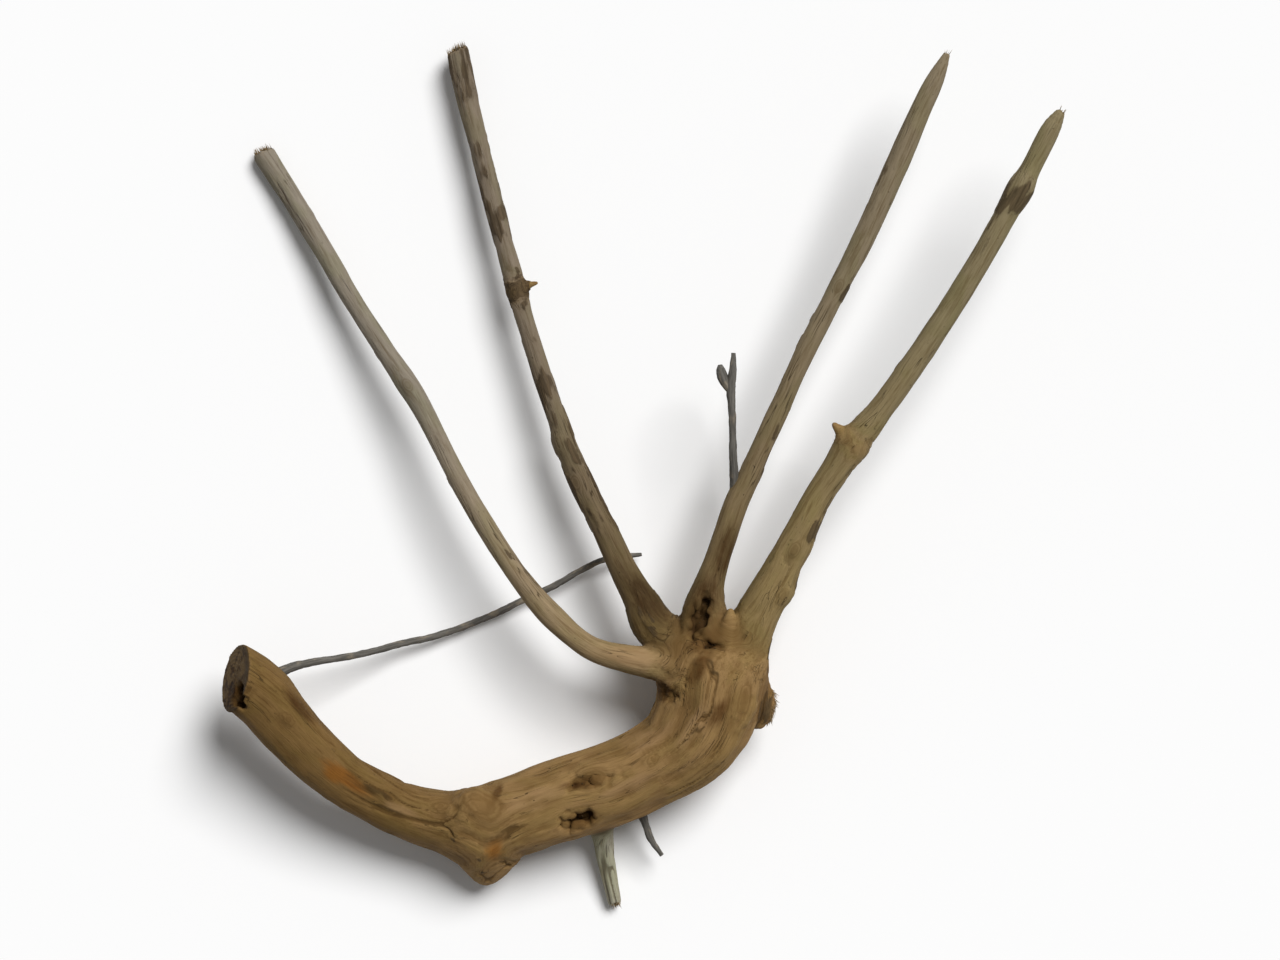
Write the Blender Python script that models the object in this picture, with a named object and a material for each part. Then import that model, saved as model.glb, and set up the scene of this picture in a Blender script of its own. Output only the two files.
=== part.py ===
"""A dry root with four long finger roots, as one closed piece of wood lying on a surface.

The frame is metres with +Z up. The origin is on the surface, under the middle of the root's box.
The stout butt runs from its sawn end at -X, round an elbow near -Y, to the fork head at +X. The four
fingers leave the head towards +Y. Each limb is a swept tube through a route of its own, the tubes are
joined by a Boolean union, and rot hollows, the sawn end and the worn feet are cut away.
"""

import math

import bmesh
import bpy
from mathutils import Matrix, Vector

MM = 0.001

# Each station of a route is x, y, z and the limb's radius there, in millimetres.
BUTT = [
    (-156, -67.5, 39, 11.0),
    (-147.4, -74, 36.2, 11.6),
    (-138, -81.6, 33, 12.0),
    (-127.8, -92.9, 30, 11.0),
    (-118.9, -102.5, 27.5, 10.3),
    (-109.4, -110.7, 25, 9.9),
    (-98.9, -117.3, 22.5, 9.8),
    (-86.8, -123.4, 20, 10.1),
    (-72, -127.5, 18, 11.7),
    (-59, -129.4, 17, 13.9),
    (-43, -125.4, 18, 14.8),
    (-27.5, -120.2, 19.5, 14.7),
    (-8, -113.6, 21, 14.8),
    (5.5, -107, 22, 14.7),
    (17.4, -98.9, 23, 16.4),
    (25, -86, 24, 18.4),
    (27.5, -74, 25, 19.4),
    (28.5, -66, 27, 15.0),
]
FINGER_ONE = [
    (28.5, -75, 28, 10.0),
    (16.8, -72.4, 31.4, 8.8),
    (6.4, -69.4, 33, 6.0),
    (-3.5, -67.5, 34, 5.1),
    (-13.5, -65, 33.5, 4.6),
    (-22, -60.4, 33, 4.3),
    (-31, -52.5, 32, 4.3),
    (-38, -45, 31, 4.1),
    (-46, -34.5, 30, 3.9),
    (-56, -19.5, 28, 3.8),
    (-68, 1.5, 25.5, 3.6),
    (-79, 23, 22, 3.6),
    (-85.5, 33.5, 20, 3.9),
    (-91.5, 42.5, 18, 3.6),
    (-105, 63, 13.5, 3.6),
    (-117.5, 84, 9.5, 3.8),
    (-128.5, 102, 6, 4.0),
    (-139.2, 118.6, 4, 4.2),
]
FINGER_TWO = [
    (21, -69, 27, 10.0),
    (6.5, -56.4, 27, 7.9),
    (1.0, -46.7, 26, 6.3),
    (-3.5, -39, 25, 5.4),
    (-7.5, -31, 24, 4.9),
    (-11.5, -22, 23, 4.7),
    (-17, -11.5, 21.5, 4.4),
    (-22, -0.5, 20.5, 4.6),
    (-26.5, 10.5, 19.5, 4.2),
    (-30.5, 22, 18.5, 3.8),
    (-34.5, 33.5, 17.5, 3.6),
    (-42, 56.5, 16, 3.4),
    (-45.5, 69.5, 15.5, 3.9),
    (-51.5, 91.5, 14, 3.3),
    (-57.5, 115, 12.5, 3.5),
    (-63.5, 138.5, 11, 3.8),
    (-66, 150, 10, 4.2),
    (-67.2, 156.6, 9.5, 4.2),
]
FINGER_THREE = [
    (26.5, -65, 29, 11.0),
    (24, -52.5, 31, 8.7),
    (25.2, -42.5, 32, 6.2),
    (28.2, -32.5, 32, 5.0),
    (32, -21, 32, 4.4),
    (36, -9.5, 32, 4.3),
    (41, 1, 32, 4.0),
    (51, 23.5, 32.5, 3.8),
    (61, 45, 33, 3.7),
    (72, 67, 34, 3.7),
    (83, 88.5, 35.5, 3.9),
    (93, 110.5, 37, 4.1),
    (102.5, 132.5, 38.5, 3.9),
    (108, 144, 39, 3.3),
    (113, 155, 39.2, 1.0),
]
FINGER_FOUR = [
    (32, -71.5, 27, 13.5),
    (38.3, -61.5, 30, 9.8),
    (43, -51.5, 33, 8.4),
    (48.5, -41.5, 36, 7.2),
    (54, -30.5, 38, 6.2),
    (59.5, -19.5, 40, 5.5),
    (65, -8.5, 41.5, 5.1),
    (71.5, 1.5, 43, 5.6),
    (78, 11.5, 44.5, 6.1),
    (86.5, 22, 46, 4.8),
    (93.5, 31.5, 47, 4.4),
    (107, 51.5, 49, 4.3),
    (120, 72, 50.3, 4.1),
    (132, 93, 51, 4.1),
    (138, 103.5, 51, 5.0),
    (141.5, 110.5, 51, 3.9),
    (148.5, 124, 51, 3.8),
    (152.6, 131.4, 51, 1.6),
]
ROOTLET = [
    (-135.5, -74.5, 29, 2.4),
    (-127.5, -70.6, 27, 1.7),
    (-118, -68.6, 22, 1.35),
    (-106.5, -67, 16, 1.3),
    (-97, -65, 11.5, 1.3),
    (-87.5, -62.5, 8, 1.3),
    (-78, -60.5, 6, 1.3),
    (-68, -57.5, 4.8, 1.25),
    (-59, -54, 4.3, 1.25),
    (-50, -50, 4.5, 1.25),
    (-41, -45.5, 5.2, 1.2),
    (-32, -41.5, 6.2, 1.2),
    (-23.5, -36.5, 6.8, 1.15),
    (-14.5, -32, 6.6, 1.15),
    (-6.5, -30.5, 6, 1.1),
    (1, -29.5, 5.2, 0.7),
]
TWIG = [
    (35.5, -11, 31, 2.4),
    (35, -4.5, 32, 1.9),
    (34.7, 2, 34.6, 1.6),
    (34.3, 9, 36.8, 1.45),
    (34, 22, 38.7, 1.35),
    (33.5, 31, 39, 1.65),
    (34.3, 38.5, 39.2, 1.4),
    (34.5, 44.5, 39.4, 0.8),
]
TWIG_BUD = [
    (33.8, 30, 38.9, 1.2),
    (32, 32.6, 38.7, 1.6),
    (30.4, 35.8, 38.5, 2.0),
    (29.8, 38.6, 38.3, 1.6),
    (29.6, 40.2, 38.2, 0.8),
]
STUB = [
    (-16, -119, 16, 8.0),
    (-14.8, -127, 13, 5.4),
    (-13.6, -134, 10.5, 4.0),
    (-12.6, -141, 8, 3.5),
    (-11.3, -148, 6, 3.1),
    (-9.2, -158.5, 4, 2.5),
]
THIN_STUB = [
    (-1, -121, 15, 2.6),
    (2, -128, 14, 1.5),
    (4.5, -135, 13, 1.3),
    (8.5, -141, 11.5, 0.8),
]
ELBOW_SPUR = [
    (-57.5, -129.5, 16.5, 13.8),
    (-56.5, -137.5, 13.5, 11.6),
    (-56.8, -144, 11, 7.6),
    (-57, -148.2, 9.5, 4.0),
]
HEEL = [
    (26, -82, 17, 13.0),
    (31, -88, 8.5, 9.5),
    (34, -92, 3.0, 7.0),
    (35, -93.5, -1.0, 6.0),
]
CROWN_STUMP = [
    (28, -68, 33, 8.4),
    (31.2, -60, 37, 4.8),
    (33, -54, 38.6, 2.8),
    (33.4, -50, 38.8, 1.4),
]
SIDE_SPUR = [
    (40, -76, 24, 6.0),
    (43.8, -81.5, 23.5, 4.8),
    (45.8, -86, 23, 3.8),
    (44.6, -91, 22, 2.2),
]
THORN_TWO = [
    (-45.5, 68, 15.5, 3.2),
    (-41.5, 70, 16.2, 1.6),
    (-38, 71, 16.6, 0.7),
]
THORN_FOUR = [
    (78, 11, 45, 4.8),
    (74, 15, 46, 2.6),
    (71, 18, 46.5, 1.1),
]

# Route, sides of the tube, spacing of its rings in millimetres, and depth of its lobes as a share.
LIMBS = {
    "finger_one": (FINGER_ONE, 12, 6.0, 0.05),
    "finger_two": (FINGER_TWO, 12, 6.0, 0.05),
    "finger_three": (FINGER_THREE, 12, 6.0, 0.05),
    "finger_four": (FINGER_FOUR, 12, 6.0, 0.05),
    "rootlet": (ROOTLET, 6, 6.0, 0.0),
    "twig": (TWIG, 7, 6.0, 0.0),
    "twig_bud": (TWIG_BUD, 6, 3.0, 0.0),
    "stub": (STUB, 9, 5.0, 0.04),
    "thin_stub": (THIN_STUB, 6, 4.0, 0.0),
    "elbow_spur": (ELBOW_SPUR, 14, 4.0, 0.0),
    "heel": (HEEL, 14, 5.0, 0.0),
    "crown_stump": (CROWN_STUMP, 11, 4.0, 0.04),
    "side_spur": (SIDE_SPUR, 8, 3.0, 0.0),
    "thorn_two": (THORN_TWO, 7, 3.0, 0.0),
    "thorn_four": (THORN_FOUR, 8, 3.0, 0.0),
}
BUTT_SIDES, BUTT_SPACING, BUTT_LOBES = 26, 5.0, 0.045
LOBES = 3  # ridges round a limb
TURN_PER_RING = 0.22  # radians that a limb's lobes wind on from one ring to the next

# Knots that swell out of the limbs, given the same way as the rot hollows below.
KNOTS = {
    "elbow_knot": ((-63.0, -123.5, 25.5), (9.0, 6.5, 6.6), (0.60, 0.80, 0.0)),
    "belly_knot": ((-1.0, -106.0, 12.5), (11.0, 8.0, 7.6), (0.95, 0.30, 0.0)),
    "shoulder_knot": ((36.0, -84.0, 33.5), (8.0, 6.0, 5.4), (0.45, 0.90, 0.0)),
    "cheek_knot": ((38.0, -62.0, 20.5), (9.0, 6.0, 6.5), (0.50, 0.85, 0.15)),
    "finger_two_node": ((-28.8, 11.5, 19.6), (3.4, 2.4, 3.0), (-0.35, 0.93, 0.0)),
    "finger_four_node": ((58.5, -26.0, 38.0), (4.5, 3.6, 4.0), (0.50, 0.85, 0.2)),
    "finger_four_bead": ((52.8, -42.5, 35.5), (4.0, 3.4, 4.2), (0.45, 0.90, 0.2)),
}

# Rot hollows: centre, half lengths along the grain, across it and in depth, and the grain's direction.
HOLLOWS = {
    "fork_hollow": ((22.3, -51.5, 41.0), (7.6, 2.8, 9.0), (0.49, 0.87, 0.10)),
    "crown_hollow": ((24.5, -62.0, 43.5), (5.2, 2.6, 6.5), (1.0, 0.05, 0.0)),
    "long_eye": ((-16.7, -111.4, 35.0), (9.6, 2.3, 5.0), (0.97, 0.22, 0.05)),
    "round_eye": ((-21.0, -125.6, 32.5), (5.4, 2.7, 6.5), (0.90, 0.40, -0.12)),
    "inner_notch": ((10.8, -79.0, 37.0), (4.4, 3.0, 5.5), (0.85, -0.35, 0.30)),
}

SAWN_CENTRE = Vector((-147.2, -73.6, 36.4)) * MM
SAWN_NORMAL = Vector((-0.86, 0.22, 0.45)).normalized()
SAW_SIZE = 0.08
FLOOR_SIZE = 0.5  # wears the three feet flat at height zero
# Where the middle of the root's box falls in the numbers above.
MIDDLE = Vector((0.4, -0.85, 0)) * MM
WOOD_COLOUR = (0.23, 0.145, 0.062, 1.0)


def clear_scene():
    for obj in list(bpy.data.objects):
        bpy.data.objects.remove(obj)


def between(before, start, end, after, share):
    """The Catmull-Rom curve's value at this share of the way from start to end."""
    straight = end - start
    left = (end - before) * 0.5
    right = (after - start) * 0.5
    cubic = left + right - straight * 2
    square = straight * 3 - left * 2 - right
    return start + left * share + square * share**2 + cubic * share**3


def stations(route, spacing):
    """Points and radii, in metres, on a smooth curve through the route about this far apart."""
    knots = [Vector(station) for station in route]
    knots = [knots[0] * 2 - knots[1], *knots, knots[-1] * 2 - knots[-2]]
    made = []
    for a, b, c, d in zip(knots, knots[1:], knots[2:], knots[3:]):
        steps = max(1, round((c.xyz - b.xyz).length / spacing))
        made += [between(a, b, c, d, step / steps) for step in range(steps)]
    made.append(knots[-2])
    return [(station.xyz * MM, station.w * MM) for station in made]


def frames(points):
    """A pair of directions across the path at each point, carried along it without twist."""
    last = len(points) - 1
    across = Vector((0, 0, 1))
    made = []
    for i in range(len(points)):
        along = (points[min(i + 1, last)] - points[max(i - 1, 0)]).normalized()
        across = (across - along * across.dot(along)).normalized()
        made.append((across, along.cross(across)))
    return made


def tube(name, route, sides, spacing, lobes):
    """A closed tube along the route, with three shallow lobes that wind slowly round it."""
    path = stations(route, spacing)
    sections = frames([point for point, _ in path])
    bm = bmesh.new()
    rings = []
    for i, ((centre, radius), (across, up)) in enumerate(zip(path, sections)):
        ring = []
        for side in range(sides):
            angle = 2 * math.pi * side / sides
            reach = radius * (1 + lobes * math.cos(LOBES * angle + TURN_PER_RING * i))
            offset = across * math.cos(angle) + up * math.sin(angle)
            ring.append(bm.verts.new(centre + offset * reach))
        rings.append(ring)
    for ring, following in zip(rings, rings[1:]):
        for side in range(sides):
            after = (side + 1) % sides
            bm.faces.new((ring[side], ring[after], following[after], following[side]))
    bm.faces.new(reversed(rings[0]))
    bm.faces.new(rings[-1])
    bmesh.ops.recalc_face_normals(bm, faces=bm.faces)
    return mesh_object(name, bm)


def mesh_object(name, bm):
    """The shape as an object, moved so that the middle of the root's box is at the origin."""
    bm.transform(Matrix.Translation(-MIDDLE))
    mesh = bpy.data.meshes.new(name)
    bm.to_mesh(mesh)
    bm.free()
    return bpy.data.objects.new(name, mesh)


def egg(name, centre, halves, grain):
    """An egg-shaped knot or hollow, its long axis along the grain and its third axis upright."""
    bm = bmesh.new()
    bmesh.ops.create_icosphere(bm, subdivisions=2, radius=1.0)
    along = Vector(grain).normalized()
    across = Vector((0, 0, 1)).cross(along).normalized()
    turn = Matrix((along, across, along.cross(across))).transposed()
    size = Matrix.Diagonal(Vector(halves) * MM)
    place = Matrix.Translation(Vector(centre) * MM)
    bm.transform(place @ (turn @ size).to_4x4())
    return mesh_object(name, bm)


def block(name, face_centre, outward, size):
    """A cutter cube that removes everything in front of a plane."""
    bm = bmesh.new()
    bmesh.ops.create_cube(bm, size=size)
    turn = outward.to_track_quat("Z", "Y").to_matrix().to_4x4()
    lift = Matrix.Translation((0, 0, size / 2))
    bm.transform(Matrix.Translation(face_centre) @ turn @ lift)
    return mesh_object(name, bm)


def helper_collection(name, helpers):
    """The helpers as one hidden collection that a Boolean can take at once."""
    made = bpy.data.collections.new(name)
    bpy.context.scene.collection.children.link(made)
    for helper in helpers:
        made.objects.link(helper)
        helper.hide_render = True
        helper.display_type = "WIRE"
    return made


def boolean(obj, operation, collection):
    modifier = obj.modifiers.new(collection.name, "BOOLEAN")
    modifier.operation = operation
    modifier.operand_type = "COLLECTION"
    modifier.collection = collection
    modifier.solver = "EXACT"


def wood():
    material = bpy.data.materials.new("dry_root_wood")
    material.use_nodes = True
    shader = material.node_tree.nodes["Principled BSDF"]
    shader.inputs["Base Color"].default_value = WOOD_COLOUR
    shader.inputs["Roughness"].default_value = 0.72
    shader.inputs["Metallic"].default_value = 0.0
    return material


def main():
    clear_scene()
    root = tube("dry_root", BUTT, BUTT_SIDES, BUTT_SPACING, BUTT_LOBES)
    bpy.context.scene.collection.objects.link(root)
    limbs = [tube(name, *limb) for name, limb in LIMBS.items()]
    limbs += [egg(name, *facts) for name, facts in KNOTS.items()]
    cutters = [egg(name, *facts) for name, facts in HOLLOWS.items()]
    cutters.append(block("saw_block", SAWN_CENTRE, SAWN_NORMAL, SAW_SIZE))
    cutters.append(block("floor_block", Vector(), Vector((0, 0, -1)), FLOOR_SIZE))
    boolean(root, "UNION", helper_collection("limbs", limbs))
    boolean(root, "DIFFERENCE", helper_collection("cutters", cutters))
    root.data.materials.append(wood())
    root.data.shade_smooth()
    root.data.set_sharp_from_angle(angle=math.radians(40))


main()
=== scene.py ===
"""A dry root lying on a pale table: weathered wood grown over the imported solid."""

import copy
import math

import bpy
import numpy as np
from bpy.props import FloatProperty, FloatVectorProperty, IntProperty, PointerProperty
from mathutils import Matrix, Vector


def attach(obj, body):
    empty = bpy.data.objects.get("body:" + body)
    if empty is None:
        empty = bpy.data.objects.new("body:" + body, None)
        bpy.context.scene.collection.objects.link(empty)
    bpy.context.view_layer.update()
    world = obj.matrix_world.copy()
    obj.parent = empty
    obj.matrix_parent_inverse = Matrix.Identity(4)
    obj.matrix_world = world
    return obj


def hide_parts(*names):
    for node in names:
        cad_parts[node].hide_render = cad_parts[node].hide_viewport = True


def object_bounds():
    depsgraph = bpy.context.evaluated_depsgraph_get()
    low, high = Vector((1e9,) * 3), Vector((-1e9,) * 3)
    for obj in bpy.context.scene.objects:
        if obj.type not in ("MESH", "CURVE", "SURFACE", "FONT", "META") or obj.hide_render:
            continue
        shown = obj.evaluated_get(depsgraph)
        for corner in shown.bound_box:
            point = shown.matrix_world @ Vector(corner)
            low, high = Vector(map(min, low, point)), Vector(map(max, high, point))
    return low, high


bl_info = {
    "name": "Dry Root",
    "version": (1, 0, 0),
    "blender": (4, 5, 0),
    "location": "View3D > Sidebar > Dry Root",
    "description": "Grows a dry root's wood, rootlets, bark and splinters, and sets up its table",
    "category": "Object",
}

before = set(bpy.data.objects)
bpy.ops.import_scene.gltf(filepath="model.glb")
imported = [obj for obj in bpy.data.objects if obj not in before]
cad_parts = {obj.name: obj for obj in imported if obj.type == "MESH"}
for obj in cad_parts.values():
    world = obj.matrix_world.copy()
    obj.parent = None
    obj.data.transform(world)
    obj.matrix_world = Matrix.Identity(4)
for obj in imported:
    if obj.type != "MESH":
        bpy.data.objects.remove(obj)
SOLID_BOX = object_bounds()

MM = 0.001
FAR = 50.0  # a distance, in millimetres, that stands for nowhere near
# Where the middle of the root's box falls in the numbers of the routes below.
MIDDLE = np.array((0.4, -0.85, 0.0))

# How far along the wood from its sawn end, in millimetres, the arm's colour starts to turn into
# the trunk's, the fingers leave the head, and their colour starts to turn into their tips'.
HEAD_STARTS = 85
FINGERS_START = 225
TIPS_START = 260

# How far from the middle of a sawn or a broken face a point can be and still be on it, and how
# rough each kind of face is, in millimetres.
SAWN_REACH = 24
BREAK_REACH = 7
SAWN_ROUGH = 0.12
BREAK_ROUGH = 0.55

# The hollows' darkening, partly rot and partly painted shade, shows from this much lost wood on, and is
# at its darkest this much deeper, in millimetres.
HOLLOW_STARTS = 1.3
HOLLOW_DEEPENS = 1.8

SOFT_EDGE = 0.9  # how softly a stain or a scrap of bark ends, as a share of its oval
FOOT_FADE = 2.0  # the relief dies away below this height over the table, in millimetres
CREST_ROUNDS = 14  # how often a point is averaged with its neighbours to find its surroundings
CREST_HEIGHT = 0.9  # how far a full crest stands over a full groove, in millimetres
ROOTLET_SPACING = 1.2  # between the sections of a rootlet, in millimetres

HALF_TABLE = 6.0  # half the table's width, in metres
WOOD_HEIGHT = 0.03  # the height, in metres, at which the view is as tall as its setting says
KEY_FROM = Vector((0.45, 0.60, 1.0))  # the way to the key light
KEY_ANGLE = math.radians(31)  # how wide it looks from the table

# ---------------------------------------------------------------- the root's limbs

# Each station of a route is x, y, z and the limb's radius there, in millimetres.
BUTT = [
    (-156, -67.5, 39, 11.0),
    (-147.4, -74, 36.2, 11.6),
    (-138, -81.6, 33, 12.0),
    (-127.8, -92.9, 30, 11.0),
    (-118.9, -102.5, 27.5, 10.3),
    (-109.4, -110.7, 25, 9.9),
    (-98.9, -117.3, 22.5, 9.8),
    (-86.8, -123.4, 20, 10.1),
    (-72, -127.5, 18, 11.7),
    (-59, -129.4, 17, 13.9),
    (-43, -125.4, 18, 14.8),
    (-27.5, -120.2, 19.5, 14.7),
    (-8, -113.6, 21, 14.8),
    (5.5, -107, 22, 14.7),
    (17.4, -98.9, 23, 16.4),
    (25, -86, 24, 18.4),
    (27.5, -74, 25, 19.4),
    (28.5, -66, 27, 15.0),
]
FINGER_ONE = [
    (28.5, -75, 28, 10.0),
    (16.8, -72.4, 31.4, 8.8),
    (6.4, -69.4, 33, 6.0),
    (-3.5, -67.5, 34, 5.1),
    (-13.5, -65, 33.5, 4.6),
    (-22, -60.4, 33, 4.3),
    (-31, -52.5, 32, 4.3),
    (-38, -45, 31, 4.1),
    (-46, -34.5, 30, 3.9),
    (-56, -19.5, 28, 3.8),
    (-68, 1.5, 25.5, 3.6),
    (-79, 23, 22, 3.6),
    (-85.5, 33.5, 20, 3.9),
    (-91.5, 42.5, 18, 3.6),
    (-105, 63, 13.5, 3.6),
    (-117.5, 84, 9.5, 3.8),
    (-128.5, 102, 6, 4.0),
    (-139.2, 118.6, 4, 4.2),
]
FINGER_TWO = [
    (21, -69, 27, 10.0),
    (6.5, -56.4, 27, 7.9),
    (1.0, -46.7, 26, 6.3),
    (-3.5, -39, 25, 5.4),
    (-7.5, -31, 24, 4.9),
    (-11.5, -22, 23, 4.7),
    (-17, -11.5, 21.5, 4.4),
    (-22, -0.5, 20.5, 4.6),
    (-26.5, 10.5, 19.5, 4.2),
    (-30.5, 22, 18.5, 3.8),
    (-34.5, 33.5, 17.5, 3.6),
    (-42, 56.5, 16, 3.4),
    (-45.5, 69.5, 15.5, 3.9),
    (-51.5, 91.5, 14, 3.3),
    (-57.5, 115, 12.5, 3.5),
    (-63.5, 138.5, 11, 3.8),
    (-66, 150, 10, 4.2),
    (-67.2, 156.6, 9.5, 4.2),
]
FINGER_THREE = [
    (26.5, -65, 29, 11.0),
    (24, -52.5, 31, 8.7),
    (25.2, -42.5, 32, 6.2),
    (28.2, -32.5, 32, 5.0),
    (32, -21, 32, 4.4),
    (36, -9.5, 32, 4.3),
    (41, 1, 32, 4.0),
    (51, 23.5, 32.5, 3.8),
    (61, 45, 33, 3.7),
    (72, 67, 34, 3.7),
    (83, 88.5, 35.5, 3.9),
    (93, 110.5, 37, 4.1),
    (102.5, 132.5, 38.5, 3.9),
    (108, 144, 39, 3.3),
    (113, 155, 39.2, 1.0),
]
FINGER_FOUR = [
    (32, -71.5, 27, 13.5),
    (38.3, -61.5, 30, 9.8),
    (43, -51.5, 33, 8.4),
    (48.5, -41.5, 36, 7.2),
    (54, -30.5, 38, 6.2),
    (59.5, -19.5, 40, 5.5),
    (65, -8.5, 41.5, 5.1),
    (71.5, 1.5, 43, 5.6),
    (78, 11.5, 44.5, 6.1),
    (86.5, 22, 46, 4.8),
    (93.5, 31.5, 47, 4.4),
    (107, 51.5, 49, 4.3),
    (120, 72, 50.3, 4.1),
    (132, 93, 51, 4.1),
    (138, 103.5, 51, 5.0),
    (141.5, 110.5, 51, 3.9),
    (148.5, 124, 51, 3.8),
    (152.6, 131.4, 51, 1.6),
]
STUB = [
    (-16, -119, 16, 8.0),
    (-14.8, -127, 13, 5.4),
    (-13.6, -134, 10.5, 4.0),
    (-12.6, -141, 8, 3.5),
    (-11.3, -148, 6, 3.1),
    (-9.2, -158.5, 4, 2.5),
]
ELBOW_SPUR = [
    (-57.5, -129.5, 16.5, 13.8),
    (-56.5, -137.5, 13.5, 11.6),
    (-56.8, -144, 11, 7.6),
    (-57, -148.2, 9.5, 4.0),
]
HEEL = [
    (26, -82, 17, 13.0),
    (31, -88, 8.5, 9.5),
    (34, -92, 3.0, 7.0),
    (35, -93.5, -1.0, 6.0),
]
CROWN_STUMP = [
    (28, -68, 33, 8.4),
    (31.2, -60, 37, 4.8),
    (33, -54, 38.6, 2.8),
    (33.4, -50, 38.8, 1.4),
]
SIDE_SPUR = [
    (40, -76, 24, 6.0),
    (43.8, -81.5, 23.5, 4.8),
    (45.8, -86, 23, 3.8),
    (44.6, -91, 22, 2.2),
]
THORN_TWO = [
    (-45.5, 68, 15.5, 3.2),
    (-41.5, 70, 16.2, 1.6),
    (-38, 71, 16.6, 0.7),
]
THORN_FOUR = [
    (78, 11, 45, 4.8),
    (74, 15, 46, 2.6),
    (71, 18, 46.5, 1.1),
]
ROOTLET = [
    (-135.5, -74.5, 29, 2.4),
    (-127.5, -70.6, 27, 1.7),
    (-118, -68.6, 22, 1.35),
    (-106.5, -67, 16, 1.3),
    (-97, -65, 11.5, 1.3),
    (-87.5, -62.5, 8, 1.3),
    (-78, -60.5, 6, 1.3),
    (-68, -57.5, 4.8, 1.25),
    (-59, -54, 4.3, 1.25),
    (-50, -50, 4.5, 1.25),
    (-41, -45.5, 5.2, 1.2),
    (-32, -41.5, 6.2, 1.2),
    (-23.5, -36.5, 6.8, 1.15),
    (-14.5, -32, 6.6, 1.15),
    (-6.5, -30.5, 6, 1.1),
    (1, -29.5, 5.2, 0.7),
]
TWIG = [
    (35.5, -11, 31, 2.4),
    (35, -4.5, 32, 1.9),
    (34.7, 2, 34.6, 1.6),
    (34.3, 9, 36.8, 1.45),
    (34, 22, 38.7, 1.35),
    (33.5, 31, 39, 1.65),
    (34.3, 38.5, 39.2, 1.4),
    (34.5, 44.5, 39.4, 0.8),
]
TWIG_BUD = [
    (33.8, 30, 38.9, 1.2),
    (32, 32.6, 38.7, 1.6),
    (30.4, 35.8, 38.5, 2.0),
    (29.8, 38.6, 38.3, 1.6),
    (29.6, 40.2, 38.2, 0.8),
]
THIN_STUB = [
    (-1, -121, 15, 2.6),
    (2, -128, 14, 1.5),
    (4.5, -135, 13, 1.3),
    (8.5, -141, 11.5, 0.8),
]

# The wood's limbs: route, and how softly each runs into the wood before it, in millimetres.
WOOD_LIMBS = {
    "butt": (BUTT, 0.0),
    "finger_one": (FINGER_ONE, 3.0),
    "finger_two": (FINGER_TWO, 3.0),
    "finger_three": (FINGER_THREE, 2.5),
    "finger_four": (FINGER_FOUR, 3.0),
    "stub": (STUB, 4.0),
    "elbow_spur": (ELBOW_SPUR, 5.0),
    "heel": (HEEL, 8.0),
    "crown_stump": (CROWN_STUMP, 2.0),
    "side_spur": (SIDE_SPUR, 3.0),
    "thorn_two": (THORN_TWO, 2.0),
    "thorn_four": (THORN_FOUR, 2.5),
}

# Everything below that has an oval shape is given as its centre, its half lengths along the grain,
# across it and upright, and the grain's direction there.
SWELLINGS = [
    ((-63.0, -123.5, 25.5), (9.0, 6.5, 6.6), (0.60, 0.80, 0.0)),
    ((-1.0, -106.0, 12.5), (11.0, 8.0, 7.6), (0.95, 0.30, 0.0)),
    ((36.0, -84.0, 33.5), (8.0, 6.0, 5.4), (0.45, 0.90, 0.0)),
    ((38.0, -62.0, 20.5), (9.0, 6.0, 6.5), (0.50, 0.85, 0.15)),
    ((-28.8, 11.5, 19.6), (3.4, 2.4, 3.0), (-0.35, 0.93, 0.0)),
    ((58.5, -26.0, 38.0), (4.5, 3.6, 4.0), (0.50, 0.85, 0.2)),
    ((52.8, -42.5, 35.5), (4.0, 3.4, 4.2), (0.45, 0.90, 0.2)),
]
SWELLING_BLEND = 4.0
SWELLING_RAGGED = 0.6

# Rot hollows, each made of ovals that run into each other.
HOLLOWS = [
    ((21.8, -52.0, 40.5), (7.4, 2.3, 7.0), (0.40, 0.91, 0.10)),
    ((19.4, -55.4, 40.4), (4.2, 2.0, 5.0), (0.20, 0.98, 0.0)),
    ((24.4, -47.2, 39.0), (4.6, 1.7, 4.5), (0.45, 0.89, 0.10)),
    ((26.0, -62.2, 43.4), (5.4, 2.4, 5.4), (1.0, 0.12, 0.0)),
    ((21.4, -59.2, 43.2), (3.4, 2.0, 4.0), (0.45, 0.89, 0.0)),
    ((-15.0, -110.6, 36.6), (10.0, 1.7, 3.4), (0.97, 0.20, 0.05)),
    ((-20.6, -112.6, 36.2), (7.0, 2.0, 4.6), (0.93, 0.36, 0.0)),
    ((-20.8, -125.5, 32.2), (6.0, 2.7, 4.2), (0.90, 0.40, -0.12)),
    ((-24.6, -127.8, 30.4), (4.4, 1.8, 3.0), (0.80, 0.60, -0.1)),
    ((10.6, -79.4, 38.4), (4.0, 2.2, 4.2), (0.85, -0.35, 0.30)),
    ((6.0, -77.8, 34.6), (3.4, 2.2, 3.4), (0.85, -0.35, 0.30)),
    ((-146.0, -80.8, 41.6), (6.0, 3.4, 3.6), (-0.72, 0.60, 0.34)),
    ((-146.6, -76.5, 40.0), (4.0, 1.6, 2.2), (-0.72, 0.60, 0.34)),
]
HOLLOW_BLEND = 2.8
HOLLOW_RAGGED = 1.9

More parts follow.
